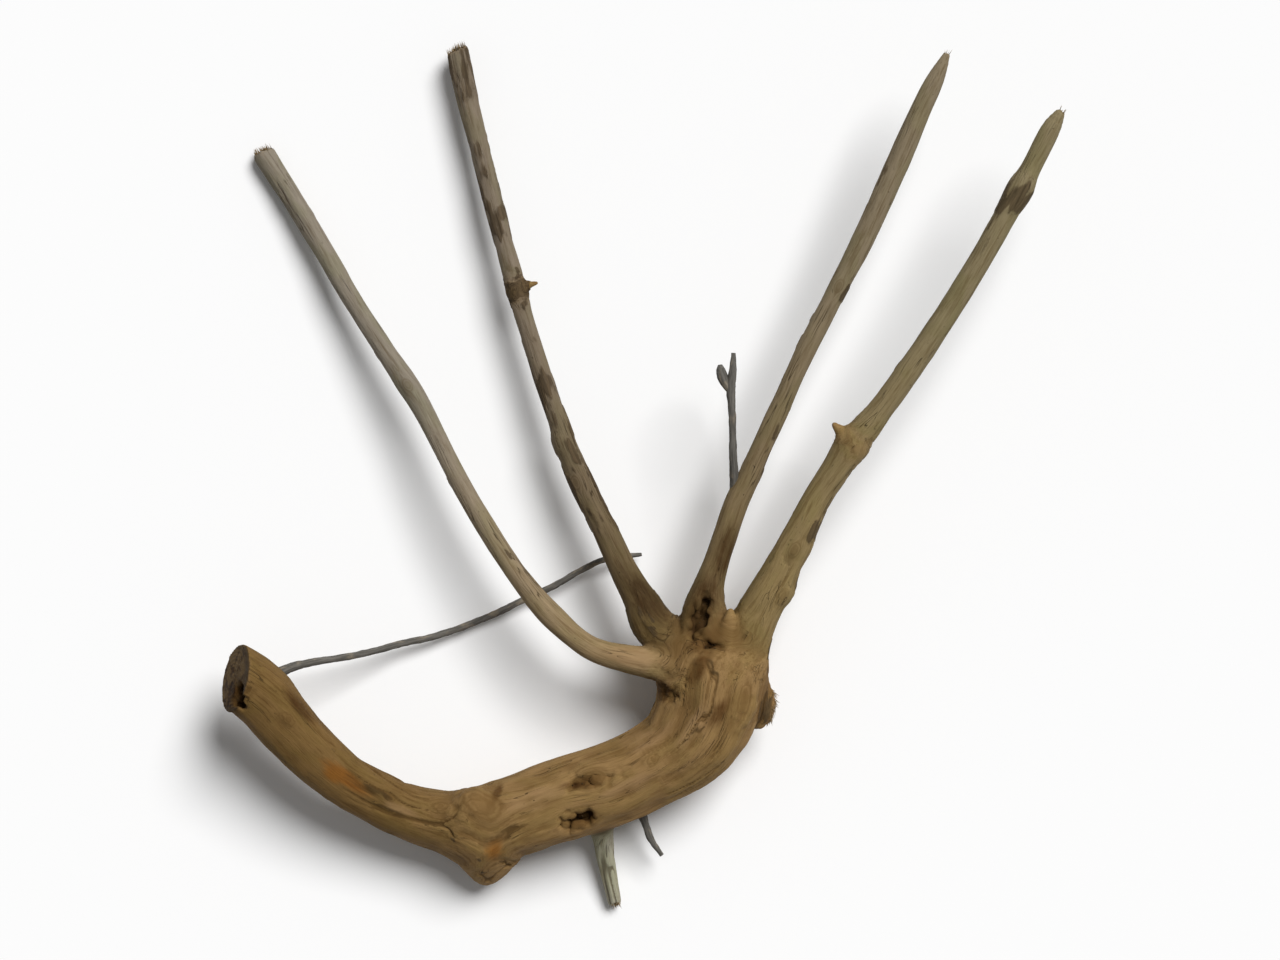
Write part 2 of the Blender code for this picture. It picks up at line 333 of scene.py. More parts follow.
# Places that the grain flows round: centre, and the radius that it keeps clear of.
EYES = [
    ((21.8, -53.5, 40.0), 3.6),
    ((26.0, -62.2, 41.5), 3.0),
    ((-17.0, -111.6, 34.5), 3.0),
    ((-21.0, -125.4, 30.5), 3.4),
    ((-56.5, -121.5, 30.5), 4.2),
    ((-72.5, -122.0, 28.5), 1.6),
    ((37.0, -83.0, 38.0), 2.6),
    ((44.0, -85.0, 24.0), 3.6),
    ((31.5, -59.0, 41.5), 3.4),
    ((-15.5, -127.5, 20.0), 3.6),
    ((-23.0, -3.0, 24.0), 1.6),
    ((-43.5, 69.0, 17.5), 1.5),
    ((-85.0, 33.0, 23.5), 1.5),
    ((73.0, 69.0, 37.8), 1.5),
    ((76.0, 13.0, 49.0), 2.2),
    ((56.5, -27.0, 42.5), 1.9),
    ((51.0, -43.5, 38.5), 1.9),
    ((5.0, -104.0, 35.5), 1.7),
    ((-92.0, -118.5, 30.0), 1.5),
    ((-128.0, -89.0, 40.0), 1.6),
]
EYE_STRETCH = 1.7

# Drying stains, lighter pinkish wood on the tops that is partly wear and partly painted highlight, dark
# rotten wood and bark that is left, as ovals.
RUST = [
    ((-107.5, -110.5, 33.0), (11.0, 2.6, 7.0), (0.78, -0.60, -0.15)),
    ((-112.0, -108.6, 32.0), (5.0, 3.4, 7.0), (0.72, -0.66, -0.15)),
    ((-53.0, -137.0, 24.0), (5.0, 3.6, 7.0), (0.60, 0.80, 0.0)),
]
# Lighter pinkish patches on the tops: partly wear, partly painted highlight.
WEAR_AND_HIGHLIGHT = [
    ((1.0, -66.5, 38.0), (17.0, 4.2, 8.0), (0.99, -0.14, 0.0)),
    ((5.0, -95.5, 35.0), (11.0, 4.5, 8.0), (0.85, 0.52, 0.0)),
    ((-38.0, -119.0, 33.0), (12.0, 5.0, 7.0), (0.95, 0.25, 0.0)),
    ((-3.0, -113.5, 35.0), (13.0, 4.0, 7.0), (0.92, 0.38, 0.0)),
    ((20.0, -92.0, 39.0), (12.0, 5.0, 7.0), (0.55, 0.83, 0.0)),
    ((-88.0, -122.5, 29.0), (9.0, 2.0, 6.0), (0.93, -0.36, 0.0)),
]
ROTTEN = [
    ((23.0, -48.0, 38.0), (15.0, 6.0, 9.0), (0.34, 0.94, 0.10)),
    ((23.5, -60.0, 42.0), (8.5, 4.6, 7.0), (0.90, 0.40, 0.0)),
    ((31.0, -29.0, 34.0), (13.0, 4.0, 7.0), (0.33, 0.94, 0.0)),
    ((3.0, -46.0, 29.0), (15.0, 5.2, 9.0), (-0.62, 0.78, 0.0)),
    ((8.5, -78.5, 34.0), (6.0, 4.6, 8.0), (0.85, -0.35, 0.0)),
    ((21.5, -70.5, 43.0), (8.0, 3.0, 6.0), (0.50, 0.86, 0.0)),
    ((29.0, -86.5, 41.0), (7.5, 3.0, 6.0), (0.60, 0.80, 0.0)),
    ((-20.0, -112.6, 35.0), (9.0, 2.4, 6.0), (0.97, 0.22, 0.0)),
    ((-20.5, -126.0, 29.0), (8.0, 4.2, 7.0), (0.90, 0.40, 0.0)),
    ((-14.5, -129.0, 20.0), (5.0, 4.6, 7.0), (0.15, -1.0, 0.0)),
    ((-52.0, -116.5, 29.0), (5.0, 1.6, 7.0), (0.30, 0.95, 0.0)),
    ((-124.0, -84.5, 38.0), (9.0, 2.2, 6.0), (0.65, -0.75, 0.0)),
    ((-147.0, -60.5, 41.0), (3.2, 3.2, 5.0), (0.65, -0.75, 0.0)),
    ((-147.5, -81.0, 38.0), (7.0, 8.0, 8.0), (0.65, -0.75, 0.0)),
]
BARK = [
    ((136.6, 101.0, 51.0), (7.5, 7.0, 8.0), (0.50, 0.86, 0.0)),
    ((63.5, -20.5, 40.0), (7.0, 2.4, 6.0), (0.50, 0.86, 0.0)),
    ((57.5, -38.5, 34.0), (5.0, 2.4, 6.0), (0.45, 0.89, 0.0)),
    ((-45.0, 68.5, 15.5), (7.0, 5.0, 6.0), (-0.30, 0.95, 0.0)),
    ((-25.0, -5.0, 20.5), (9.0, 3.6, 6.0), (-0.45, 0.90, 0.0)),
    ((46.5, -85.0, 23.5), (6.0, 7.0, 7.0), (0.0, 1.0, 0.0)),
    ((-34.0, 33.0, 17.5), (12.0, 3.6, 5.0), (-0.32, 0.95, 0.0)),
    ((75.0, 66.5, 33.0), (4.0, 2.2, 5.0), (0.45, 0.89, 0.0)),
    ((49.0, -64.0, 26.0), (9.0, 4.0, 7.0), (0.35, 0.94, 0.0)),
]

SAWN_CENTRE = np.array((-147.2, -73.6, 36.4))
SAWN_NORMAL = np.array((-0.86, 0.22, 0.45)) / np.linalg.norm((-0.86, 0.22, 0.45))

# Broken tips: a point on the break, and the way it faces.
BREAKS = [
    ((-140.0, 120.6, 4.0), (-0.35, 0.93, 0.10)),
    ((-67.2, 158.0, 9.5), (-0.42, 0.90, 0.15)),
    ((-9.0, -159.8, 4.0), (0.30, -0.95, 0.0)),
    ((49.3, -85.6, 22.4), (0.98, -0.20, 0.0)),
    ((152.6, 131.6, 51.0), (0.60, 0.78, 0.15)),
    ((112.4, 153.6, 39.2), (0.20, 0.97, 0.15)),
]


class Limb:
    """A limb's centre line in millimetres, with the frame that its grain is measured in."""

    STEP = 2.0

    def __init__(self, route, stem=None):
        path = smooth_path(route, self.STEP)
        self.centre = path[:, :3] - MIDDLE
        self.radius = path[:, 3]
        lengths = np.linalg.norm(np.diff(self.centre, axis=0), axis=1)
        self.run = np.concatenate([[0.0], np.cumsum(lengths)])
        along = unit(np.gradient(self.centre, axis=0))
        across = np.array((0.0, 0.0, 1.0))
        self.start = 0.0
        if stem is not None:
            nearest = np.linalg.norm(stem.centre - self.centre[0], axis=1).argmin()
            across = stem.across[nearest]
            self.start = stem.start + stem.run[nearest]
        self.along = along
        self.across = np.empty_like(along)
        for i, direction in enumerate(along):
            across = unit(across - direction * (across @ direction))
            self.across[i] = across
        self.beside = np.cross(self.along, self.across)

    def measure(self, points):
        """Each point's distance outside the limb, place in its grain, radius there and direction."""
        a, b = self.centre[:-1], self.centre[1:]
        ab = b - a
        length2 = (ab**2).sum(1)
        best = np.full(len(points), np.inf)
        segment = np.zeros(len(points), int)
        share = np.zeros(len(points))
        for i in range(len(a)):
            t = np.clip((points - a[i]) @ ab[i] / length2[i], 0, 1)
            gap = np.linalg.norm(points - a[i] - t[:, None] * ab[i], axis=1)
            gap -= self.radius[i] + t * (self.radius[i + 1] - self.radius[i])
            closer = gap < best
            best = np.where(closer, gap, best)
            segment = np.where(closer, i, segment)
            share = np.where(closer, t, share)
        blend = lambda values: (values[segment].T * (1 - share) + values[segment + 1].T * share).T
        offset = points - blend(self.centre)
        across = (offset * blend(self.across)).sum(1)
        beside = (offset * blend(self.beside)).sum(1)
        grain = np.stack([across, beside, self.start + blend(self.run)], axis=1)
        return best, grain, blend(self.radius), blend(self.along)

    def near(self, points, reach):
        """Which points lie within reach of the limb's surface, judged coarsely."""
        found = np.zeros(len(points), bool)
        for centre, radius in zip(self.centre[::4], self.radius[::4]):
            found |= ((points - centre) ** 2).sum(1) < (radius + reach + 2 * self.STEP) ** 2
        return found


def unit(vectors):
    return vectors / np.linalg.norm(vectors, axis=-1, keepdims=True)


def smooth_path(route, spacing):
    """Points and radii about this far apart on a Catmull-Rom curve through the route."""
    knots = np.array(route, float)
    knots = np.vstack([2 * knots[0] - knots[1], knots, 2 * knots[-1] - knots[-2]])
    path = []
    for a, b, c, d in zip(knots, knots[1:], knots[2:], knots[3:]):
        steps = max(1, round(np.linalg.norm((c - b)[:3]) / spacing))
        t = (np.arange(steps) / steps)[:, None]
        curve = 2 * b + (c - a) * t + (2 * a - 5 * b + 4 * c - d) * t**2 + (3 * b - a - 3 * c + d) * t**3
        path.append(curve / 2)
    path.append(knots[-2:-1])
    return np.vstack(path)


# ---------------------------------------------------------------- noise


def lattice(x, y, z, seed):
    """A repeatable number from -1 to 1 for each corner of a whole-number grid."""
    mixed = (x * 374761393 + y * 668265263 + z * 1442695041 + seed * 974711) & 0xFFFFFFFF
    mixed = ((mixed ^ (mixed >> 13)) * 1274126177) & 0xFFFFFFFF
    mixed = ((mixed ^ (mixed >> 15)) * 2246822519) & 0xFFFFFFFF
    return ((mixed ^ (mixed >> 16)) & 0xFFFF) / 32767.5 - 1


def noise(points, seed):
    """Smooth noise from -1 to 1 that changes over about one unit."""
    cell = np.floor(points).astype(np.int64)
    t = points - cell
    t = t**3 * (t * (t * 6 - 15) + 10)
    total = np.zeros(len(points))
    for corner in np.ndindex(2, 2, 2):
        weight = np.prod(np.where(corner, t, 1 - t), axis=1)
        total += weight * lattice(*(cell + corner).T, seed)
    return total


def streaks(grain, across, along, seed):
    """Noise that is drawn out along the grain: its size across and along, in millimetres."""
    return noise(grain / (across, across, along), seed)


# ---------------------------------------------------------------- the wood's surface


class Grid:
    """Distances to the wood's surface on a grid of points, in millimetres, negative inside it."""

    MARGIN = 9.0

    def __init__(self, step):
        self.step = step
        low, high = (np.array(corner) / MM for corner in SOLID_BOX)
        self.low = low - self.MARGIN
        self.shape = np.ceil((high - low + 2 * self.MARGIN) / step).astype(int)
        self.field = np.full(self.shape, FAR, np.float32)

    def window(self, low, high):
        """The slices of the grid between two corners, and the points there."""
        first = np.clip(np.floor((low - self.low) / self.step).astype(int), 0, self.shape)
        last = np.clip(np.ceil((high - self.low) / self.step).astype(int) + 1, 0, self.shape)
        ticks = [self.low[i] + self.step * np.arange(first[i], last[i]) for i in range(3)]
        points = np.stack(np.meshgrid(*ticks, indexing="ij"), axis=-1).astype(np.float32)
        return tuple(slice(a, b) for a, b in zip(first, last)), points

    def add_limb(self, limb, blend):
        reach = limb.radius.max() + self.MARGIN
        place, points = self.window(limb.centre.min(0) - reach, limb.centre.max(0) + reach)
        own = np.full(points.shape[:3], FAR, np.float32)
        corner = points[0, 0, 0]
        for a, b, ra, rb in zip(limb.centre, limb.centre[1:], limb.radius, limb.radius[1:]):
            around = max(ra, rb) + self.MARGIN
            first = np.maximum(((np.minimum(a, b) - around - corner) / self.step).astype(int), 0)
            last = ((np.maximum(a, b) + around - corner) / self.step).astype(int) + 2
            part = tuple(slice(i, j) for i, j in zip(first, last))
            away = points[part] - a.astype(np.float32)
            ab = (b - a).astype(np.float32)
            t = np.clip(away @ ab / (ab @ ab), 0, 1)
            away -= t[..., None] * ab
            gap = np.sqrt((away**2).sum(-1)) - (ra + t * (rb - ra)).astype(np.float32)
            np.minimum(own[part], gap, out=own[part])
        self.field[place] = soft_min(self.field[place], own, blend)

    def oval(self, oval, ragged):
        """The window round an oval whose edge wanders by this much, and distances to it."""
        centre = np.array(oval[0]) - MIDDLE
        reach = max(oval[1]) + self.MARGIN
        place, points = self.window(centre - reach, centre + reach)
        flat = points.reshape(-1, 3).astype(float)
        wander = np.stack([noise(flat / 2.7, 60 + axis) for axis in range(3)], axis=1)
        return place, oval_gap(flat + ragged * wander, oval).reshape(points.shape[:3])

    def swell(self, oval):
        place, gap = self.oval(oval, SWELLING_RAGGED)
        self.field[place] = soft_min(self.field[place], gap, SWELLING_BLEND)

    def carve(self, oval):
        place, gap = self.oval(oval, HOLLOW_RAGGED)
        self.field[place] = -soft_min(-self.field[place], gap, HOLLOW_BLEND)

    def cut(self, point, normal, reach, rough):
        """Takes off what is in front of a plane, within reach of a point on it."""
        point = np.array(point) - MIDDLE
        place, points = self.window(point - reach, point + reach)
        flat = points.reshape(-1, 3).astype(float)
        gap = (flat - point) @ unit(np.array(normal, float)) + rough * noise(flat / 1.3, 70)
        self.field[place] = np.maximum(self.field[place], gap.reshape(points.shape[:3]))

    def wear_feet(self):
        """Keeps the wood above the table."""
        heights = self.low[2] + self.step * np.arange(self.shape[2])
        self.field = np.maximum(self.field, -heights.astype(np.float32))

    def sample(self, points):
        """The field between the grid's points, and how steeply it rises there."""
        at = (points - self.low) / self.step
        cell = np.clip(np.floor(at).astype(int), 0, self.shape - 2)
        t = at - cell
        value = np.zeros(len(points))
        slope = np.zeros((len(points), 3))
        for corner in np.ndindex(2, 2, 2):
            here = self.field[tuple((cell + corner).T)].astype(float)
            weights = np.where(corner, t, 1 - t)
            signs = np.where(corner, 1.0, -1.0)
            value += here * weights.prod(1)
            slope[:, 0] += here * signs[0] * weights[:, 1] * weights[:, 2]
            slope[:, 1] += here * weights[:, 0] * signs[1] * weights[:, 2]
            slope[:, 2] += here * weights[:, 0] * weights[:, 1] * signs[2]
        return value, slope / self.step

    def skin(self):
        """Points and four-sided faces along the surface where the field crosses zero."""
        field = self.field
        inside = field < 0
        corners = list(np.ndindex(2, 2, 2))
        size = self.shape - 1
        count = np.zeros(size, np.int8)
        for x, y, z in corners:
            count += inside[x : x + size[0], y : y + size[1], z : z + size[2]]
        mixed = (count > 0) & (count < 8)
        cells = np.argwhere(mixed)
        index = np.full(size, -1, np.int32)
        index[mixed] = np.arange(len(cells))
        total = np.zeros((len(cells), 3))
        crossings = np.zeros(len(cells))
        values = {corner: field[tuple((cells + corner).T)].astype(float) for corner in corners}
        for start in corners:
            for axis in range(3):
                if start[axis]:
                    continue
                end = tuple(c + (i == axis) for i, c in enumerate(start))
                crossed = (values[start] < 0) != (values[end] < 0)
                gap = np.where(crossed, values[start] - values[end], 1)
                place = np.array(start, float) + np.outer(values[start] / gap, np.eye(3)[axis])
                total += place * crossed[:, None]
                crossings += crossed
        points = self.low + self.step * (cells + total / crossings[:, None])
        faces = []
        for axis in range(3):
            u, v = (axis + 1) % 3, (axis + 2) % 3
            ahead = tuple(slice(1, None) if i == axis else slice(None) for i in range(3))
            behind = tuple(slice(None, -1) if i == axis else slice(None) for i in range(3))
            at = np.argwhere(inside[ahead] != inside[behind])
            backward = ~inside[behind][tuple(at.T)]
            ring = []
            for du, dv in ((0, 0), (1, 0), (1, 1), (0, 1)):
                shifted = at.copy()
                shifted[:, u] -= du
                shifted[:, v] -= dv
                ring.append(index[tuple(shifted.T)])
            ring = np.stack(ring, axis=1)
            ring[backward] = ring[backward][:, ::-1]
            faces.append(ring)
        return points, np.vstack(faces)


def soft_min(a, b, blend):
    """The lower of two distances, rounded over where they are within blend of each other."""
    lower = np.minimum(a, b)
    if blend == 0:
        return lower
    near = np.clip(blend - np.abs(a - b), 0, None)
    return (lower - near**2 / (4 * blend)).astype(np.float32)


def oval_place(points, oval):
    """Points as seen from the oval's middle, along its grain, across it and upright."""
    centre, _, grain = oval
    along = unit(np.array(grain, float))
    across = unit(np.cross((0, 0, 1), along))
    return (points - (np.array(centre) - MIDDLE)) @ np.stack([along, across, np.cross(along, across)]).T


def oval_gap(points, oval):
    """About how far each point is outside the oval."""
    halves = np.array(oval[1])
    local = oval_place(points, oval)
    size = np.linalg.norm(local / halves, axis=1)
    slope = np.linalg.norm(local / halves**2, axis=1) + 1e-9
    return size * (size - 1) / slope


def oval_share(points, ovals):
    """From 1 in the middle of any of the ovals to 0 outside them all."""
    share = np.zeros(len(points))
    for oval in ovals:
        size = np.linalg.norm(oval_place(points, oval) / np.array(oval[1]), axis=1)
        share = np.maximum(share, np.clip((1 + SOFT_EDGE / 2 - size) / SOFT_EDGE, 0, 1))
    return share


def averager(count, faces):
    """A function that gives the mean of each point's neighbours."""
    ends = np.vstack([faces[:, [i, (i + 1) % 4]] for i in range(4)])
    degree = np.bincount(ends[:, 0], minlength=count).astype(float)

    def mean(values):
        columns = [np.bincount(ends[:, 0], column[ends[:, 1]], minlength=count) for column in values.T]
        return np.stack(columns, axis=1) / degree[:, None]

    return mean


def outward(points, faces):
    """The surface's unit normal at each point."""
    a, b, c, d = (points[faces[:, i]] for i in range(4))
    facing = np.cross(c - a, d - b)
    columns = [
        sum(np.bincount(faces[:, i], column, minlength=len(points)) for i in range(4))
        for column in facing.T
    ]
    normals = np.stack(columns, axis=1)
    return normals / np.maximum(np.linalg.norm(normals, axis=1, keepdims=True), 1e-12)


# ---------------------------------------------------------------- grain


class Grain:
    """Each point's place in the grain: two coordinates across it and one along it, in millimetres."""

    SHARING = 1.6  # how far apart, in millimetres, two limbs still share a point
    REACH = 12.0  # how far from a limb's surface a point can lie and still take its grain

    def __init__(self, limbs, points):
        count = len(points)
        self.weights = {}
        gaps, found = {}, {}
        nearest = np.full(count, np.inf)
        for name, limb in limbs.items():
            near = np.flatnonzero(limb.near(points, self.REACH))
            gap, place, radius, along = limb.measure(points[near])
            gaps[name] = np.full(count, np.inf)
            gaps[name][near] = gap
            found[name] = near, place, radius, along
            nearest = np.minimum(nearest, gaps[name])
        total = np.zeros(count)
        self.place = np.zeros((count, 3))
        self.along = np.zeros((count, 3))
        self.radius = np.zeros(count)
        for name, (near, place, radius, along) in found.items():
            weight = np.exp(-np.maximum(gaps[name] - nearest, 0) / self.SHARING)
            self.weights[name] = weight
            total += weight
            self.place[near] += place * weight[near, None]
            self.along[near] += along * weight[near, None]
            self.radius[near] += radius * weight[near]
        self.place /= total[:, None]
        self.radius /= total
        self.along = self.along / np.maximum(np.linalg.norm(self.along, axis=1, keepdims=True), 1e-9)
        for name in self.weights:
            self.weights[name] = self.weights[name] / total
        self.eye = np.zeros(count)
        for centre, radius in EYES:
            self.flow_round(points, np.array(centre) - MIDDLE, radius)

    def flow_round(self, points, centre, radius):
        """Makes the grain part in front of an eye and close behind it, as it does round a knot."""
        reach = 6 * radius
        distance = np.linalg.norm(points - centre, axis=1)
        near = np.flatnonzero(distance < reach)
        home = self.place[distance.argmin()]
        side = unit(np.array((-home[1], home[0], 0.0)))
        away = self.place[near] - home
        across = away @ side
        spread = across**2 + (away[:, 2] / EYE_STRETCH) ** 2
        push = radius**2 / np.maximum(spread, radius**2)
        push *= 1 - (distance[near] / reach) ** 2
        self.place[near] -= side * (across * push)[:, None]
        self.eye[near] = np.maximum(self.eye[near], np.clip(1.5 - np.sqrt(spread) / radius, 0, 1))


def relief(points, grain, bark, hollow, sizes):
    """How far the surface stands out or in, in millimetres, and where its drying cracks run."""
    place = grain.place
    warp = np.stack([noise(place / (14, 14, 30), 11 + axis) for axis in range(3)], axis=1)
    fibre = place + warp * (1.6, 1.6, 6.0)
    stout = np.clip(grain.radius / 14, 0.25, 1.2)
    flutes = streaks(fibre, 8.0, 55, 1) + 0.5 * streaks(fibre, 4.4, 30, 2)
    ridges = streaks(fibre, 2.6, 22, 3) + 0.6 * streaks(fibre, 1.5, 14, 4)
    fibres = streaks(fibre, 0.9, 8, 5)
    line = streaks(fibre, 3.4, 34, 6)
    where = np.clip(streaks(place, 10, 40, 7) * 2.4 - 0.45, 0, 1)
    cracks = np.exp(-((line / 0.09) ** 2)) * where
    calm = np.clip(0.6 + 0.8 * streaks(place, 12, 45, 8), 0.25, 1)
    height = sizes.lumps * noise(points / 17, 9) * stout
    height += 0.4 * sizes.lumps * noise(points / 6, 10) * stout
    height += sizes.flutes * flutes * stout
    height += sizes.ridges * ridges * (0.45 + 0.55 * stout) * calm
    height += sizes.fibres * fibres
    height -= sizes.cracks * cracks * (0.4 + 0.6 * stout)
    height += sizes.bark * np.clip((bark - 0.42) / 0.16, 0, 1)
    height += hollow * 0.5 * streaks(fibre, 1.3, 7, 12)
    height += 0.35 * grain.eye * np.clip(grain.radius / 8, 0.3, 1)
    return height, cracks


def bark_left(points, grain):
    """From 0 on bare wood to 1 under bark that hasn't come off, in patches drawn out along the grain."""
    share = 0.04 * np.ones(len(points))
    for name, scraps in (("finger_two", 0.27), ("finger_three", 0.06), ("finger_four", 0.04)):
        out = np.clip((grain.place[:, 2] - FINGERS_START) / 30, 0, 1)
        share += scraps * grain.weights[name] * out
    share = np.maximum(share, 0.95 * oval_share(points, BARK))
    patches = 0.62 * streaks(grain.place, 3.0, 13, 31) + 0.34 * streaks(grain.place, 1.2, 5, 32)
    return np.clip(0.5 + (patches + 1.5 * share - 0.78) * 1.3, 0, 1)


def grow_wood(sizes):
    """The wood's points and faces, its limbs, and its grid as it was before rot hollowed it."""
    butt = Limb(BUTT)
    limbs = {"butt": butt}
    for name, (route, _) in WOOD_LIMBS.items():
        if name != "butt":
            limbs[name] = Limb(route, butt)
    grid = Grid(sizes.step / MM)
    for name, (_, blend) in WOOD_LIMBS.items():
        grid.add_limb(limbs[name], blend)
    for oval in SWELLINGS:
        grid.swell(oval)
    grid.cut(SAWN_CENTRE, SAWN_NORMAL, 1.25 * SAWN_REACH, SAWN_ROUGH)
    for point, normal in BREAKS:
        grid.cut(point, normal, BREAK_REACH, BREAK_ROUGH)
    grid.wear_feet()
    sound = copy.copy(grid)
    sound.field = grid.field.copy()
    for oval in HOLLOWS:
        grid.carve(oval)
    points, faces = grid.skin()
    mean = averager(len(points), faces)
    for _ in range(3):
        points = points + 0.6 * (mean(points) - points)
        gap, slope = grid.sample(points)
        points -= slope * (gap / np.maximum((slope**2).sum(1), 0.05))[:, None]
    return points, faces, limbs, sound


# ---------------------------------------------------------------- materials


class Value:
    """A node socket for Python expressions: each operator adds a Math node."""

    def __init__(self, nodes, socket):
        self.nodes = nodes
        self.socket = socket

    def math(self, operation, *values):
        return self.nodes.node("ShaderNodeMath", {"operation": operation}, *values)

    def __add__(self, other):
        return self.math("ADD", self, other)

    def __radd__(self, other):
        return self.math("ADD", other, self)

    def __sub__(self, other):
        return self.math("SUBTRACT", self, other)

    def __rsub__(self, other):
        return self.math("SUBTRACT", other, self)

    def __mul__(self, other):
        return self.math("MULTIPLY", self, other)

    def __rmul__(self, other):
        return self.math("MULTIPLY", other, self)

    def __rtruediv__(self, other):
        return self.math("DIVIDE", other, self)

    def __abs__(self):
        return self.math("ABSOLUTE", self)


class Nodes:
    """A node tree whose nodes are all added in one way."""

    def __init__(self, tree):
        self.tree = tree

    def feed(self, socket, value):
        if isinstance(value, Value):
            self.tree.links.new(value.socket, socket)
        elif socket.type == "RGBA" and len(value) == 3:
            socket.default_value = (*value, 1.0)
        else:
            socket.default_value = value

    def node(self, kind, settings, *values, output=0, **named):
        """Adds a node: its settings first, then its inputs by place or by name."""
        made = self.tree.nodes.new(kind)
        for setting, value in settings.items():
            setattr(made, setting, value)
        inputs = [socket for socket in made.inputs if socket.enabled]
        for socket, value in zip(inputs, values):
            self.feed(socket, value)
        for name, value in named.items():
            self.feed(next(socket for socket in inputs if socket.name == name.replace("_", " ")), value)
        outputs = [socket for socket in made.outputs if socket.enabled]
        return Value(self, outputs[output])

    def vector(self, operation, *values):
        return self.node("ShaderNodeVectorMath", {"operation": operation}, *values)


def shade(colour, share):
    """A colour made darker or lighter."""
    return tuple(c * share for c in colour)


class Shader(Nodes):
    """A material's nodes."""

    def __init__(self, name):
        self.material = bpy.data.materials.new(name)
        self.material.use_nodes = True
        super().__init__(self.material.node_tree)
        self.surface = self.tree.nodes["Principled BSDF"]

    def attribute(self, name, output):
        return self.node("ShaderNodeAttribute", {"attribute_name": name}, output=output)

    def mix(self, share, a, b, kind="MIX"):
        """One colour laid over another by share."""
        return self.node("ShaderNodeMix", {"data_type": "RGBA", "blend_type": kind}, share, a, b)

    def stretch(self, place, across, along, shift=0.0):
        """The grain's coordinates, scaled so that a pattern is this wide and this long."""
        scaled = self.vector("MULTIPLY", place, (1 / across, 1 / across, 1 / along))
        return self.vector("ADD", scaled, (shift, shift, shift))

    def noise(self, place, detail=3.0, roughness=0.55, distortion=0.0):
        return self.node(
            "ShaderNodeTexNoise",
            {},
            Vector=place,
            Scale=1.0,
            Detail=detail,
            Roughness=roughness,
            Distortion=distortion,
        )

    def step(self, value, low, high):
        """Zero below low, one above high, and a smooth rise between."""
        settings = {"interpolation_type": "SMOOTHSTEP"}
        return self.node("ShaderNodeMapRange", settings, value, low, high, 0.0, 1.0)

    def wave(self, value):
        """A sine wave that runs from zero to one."""
        return self.node("ShaderNodeMath", {"operation": "SINE"}, value) * 0.5 + 0.5

    def level(self, value, low, high, to_low, to_high):
        return self.node("ShaderNodeMapRange", {}, value, low, high, to_low, to_high)

    def finish(self, colour, roughness, height, depth, shine=0.12):
        self.feed(self.surface.inputs["Base Color"], colour)
        self.feed(self.surface.inputs["Roughness"], roughness)
        bump = self.node("ShaderNodeBump", {}, Height=height, Distance=depth, Strength=1.0)
        self.feed(self.surface.inputs["Normal"], bump)
        self.surface.inputs["Specular IOR Level"].default_value = shine
        return self.material


class Geometry(Nodes):
    """A geometry node tree with named inputs."""

    def __init__(self, name, inputs):
        super().__init__(bpy.data.node_groups.new(name, "GeometryNodeTree"))
        face = self.tree.interface
        face.new_socket("Geometry", in_out="INPUT", socket_type="NodeSocketGeometry")
        for label, kind in inputs.items():
            face.new_socket(label, in_out="INPUT", socket_type="NodeSocket" + kind)
        face.new_socket("Geometry", in_out="OUTPUT", socket_type="NodeSocketGeometry")
        self.entry = self.tree.nodes.new("NodeGroupInput")

    def given(self, name):
        return Value(self, self.entry.outputs[name])

    def attribute(self, name, kind="FLOAT"):
        return self.node("GeometryNodeInputNamedAttribute", {"data_type": kind}, name)

    def keep(self, shape, name, value, kind="FLOAT_VECTOR"):
        """Stores a value on each of the shape's points."""
        settings = {"data_type": kind}
        return self.node("GeometryNodeStoreNamedAttribute", settings, shape, Name=name, Value=value)

    def scale(self, vector, share):
        return self.node("ShaderNodeVectorMath", {"operation": "SCALE"}, vector, Scale=share)

    def random(self, low, high, seed):
        return self.node("FunctionNodeRandomValue", {"data_type": "FLOAT_VECTOR"}, low, high, Seed=seed)

    def finish(self, shape, material):
        """Realises what is left of the instances, sets the material and ends the tree."""
        shape = self.node("GeometryNodeRealizeInstances", {}, shape)
        shape = self.node("GeometryNodeSetShadeSmooth", {}, shape)
        shape = self.node("GeometryNodeSetMaterial", {}, shape, Material=material)
        self.feed(self.tree.nodes.new("NodeGroupOutput").inputs[0], shape)
        return self.tree


def made_by(tree, name, mesh, **settings):
    """A plain object holding what a geometry node tree makes of a mesh with these settings."""
    obj = bpy.data.objects.new(name, mesh)
    bpy.context.scene.collection.objects.link(obj)
    modifier = obj.modifiers.new(tree.name, "NODES")
    modifier.node_group = tree
    for item in tree.interface.items_tree:
        label = item.name.replace(" ", "_")
        if item.in_out == "INPUT" and label in settings:
            modifier[item.identifier] = settings[label]
    return evaluated(obj, name)


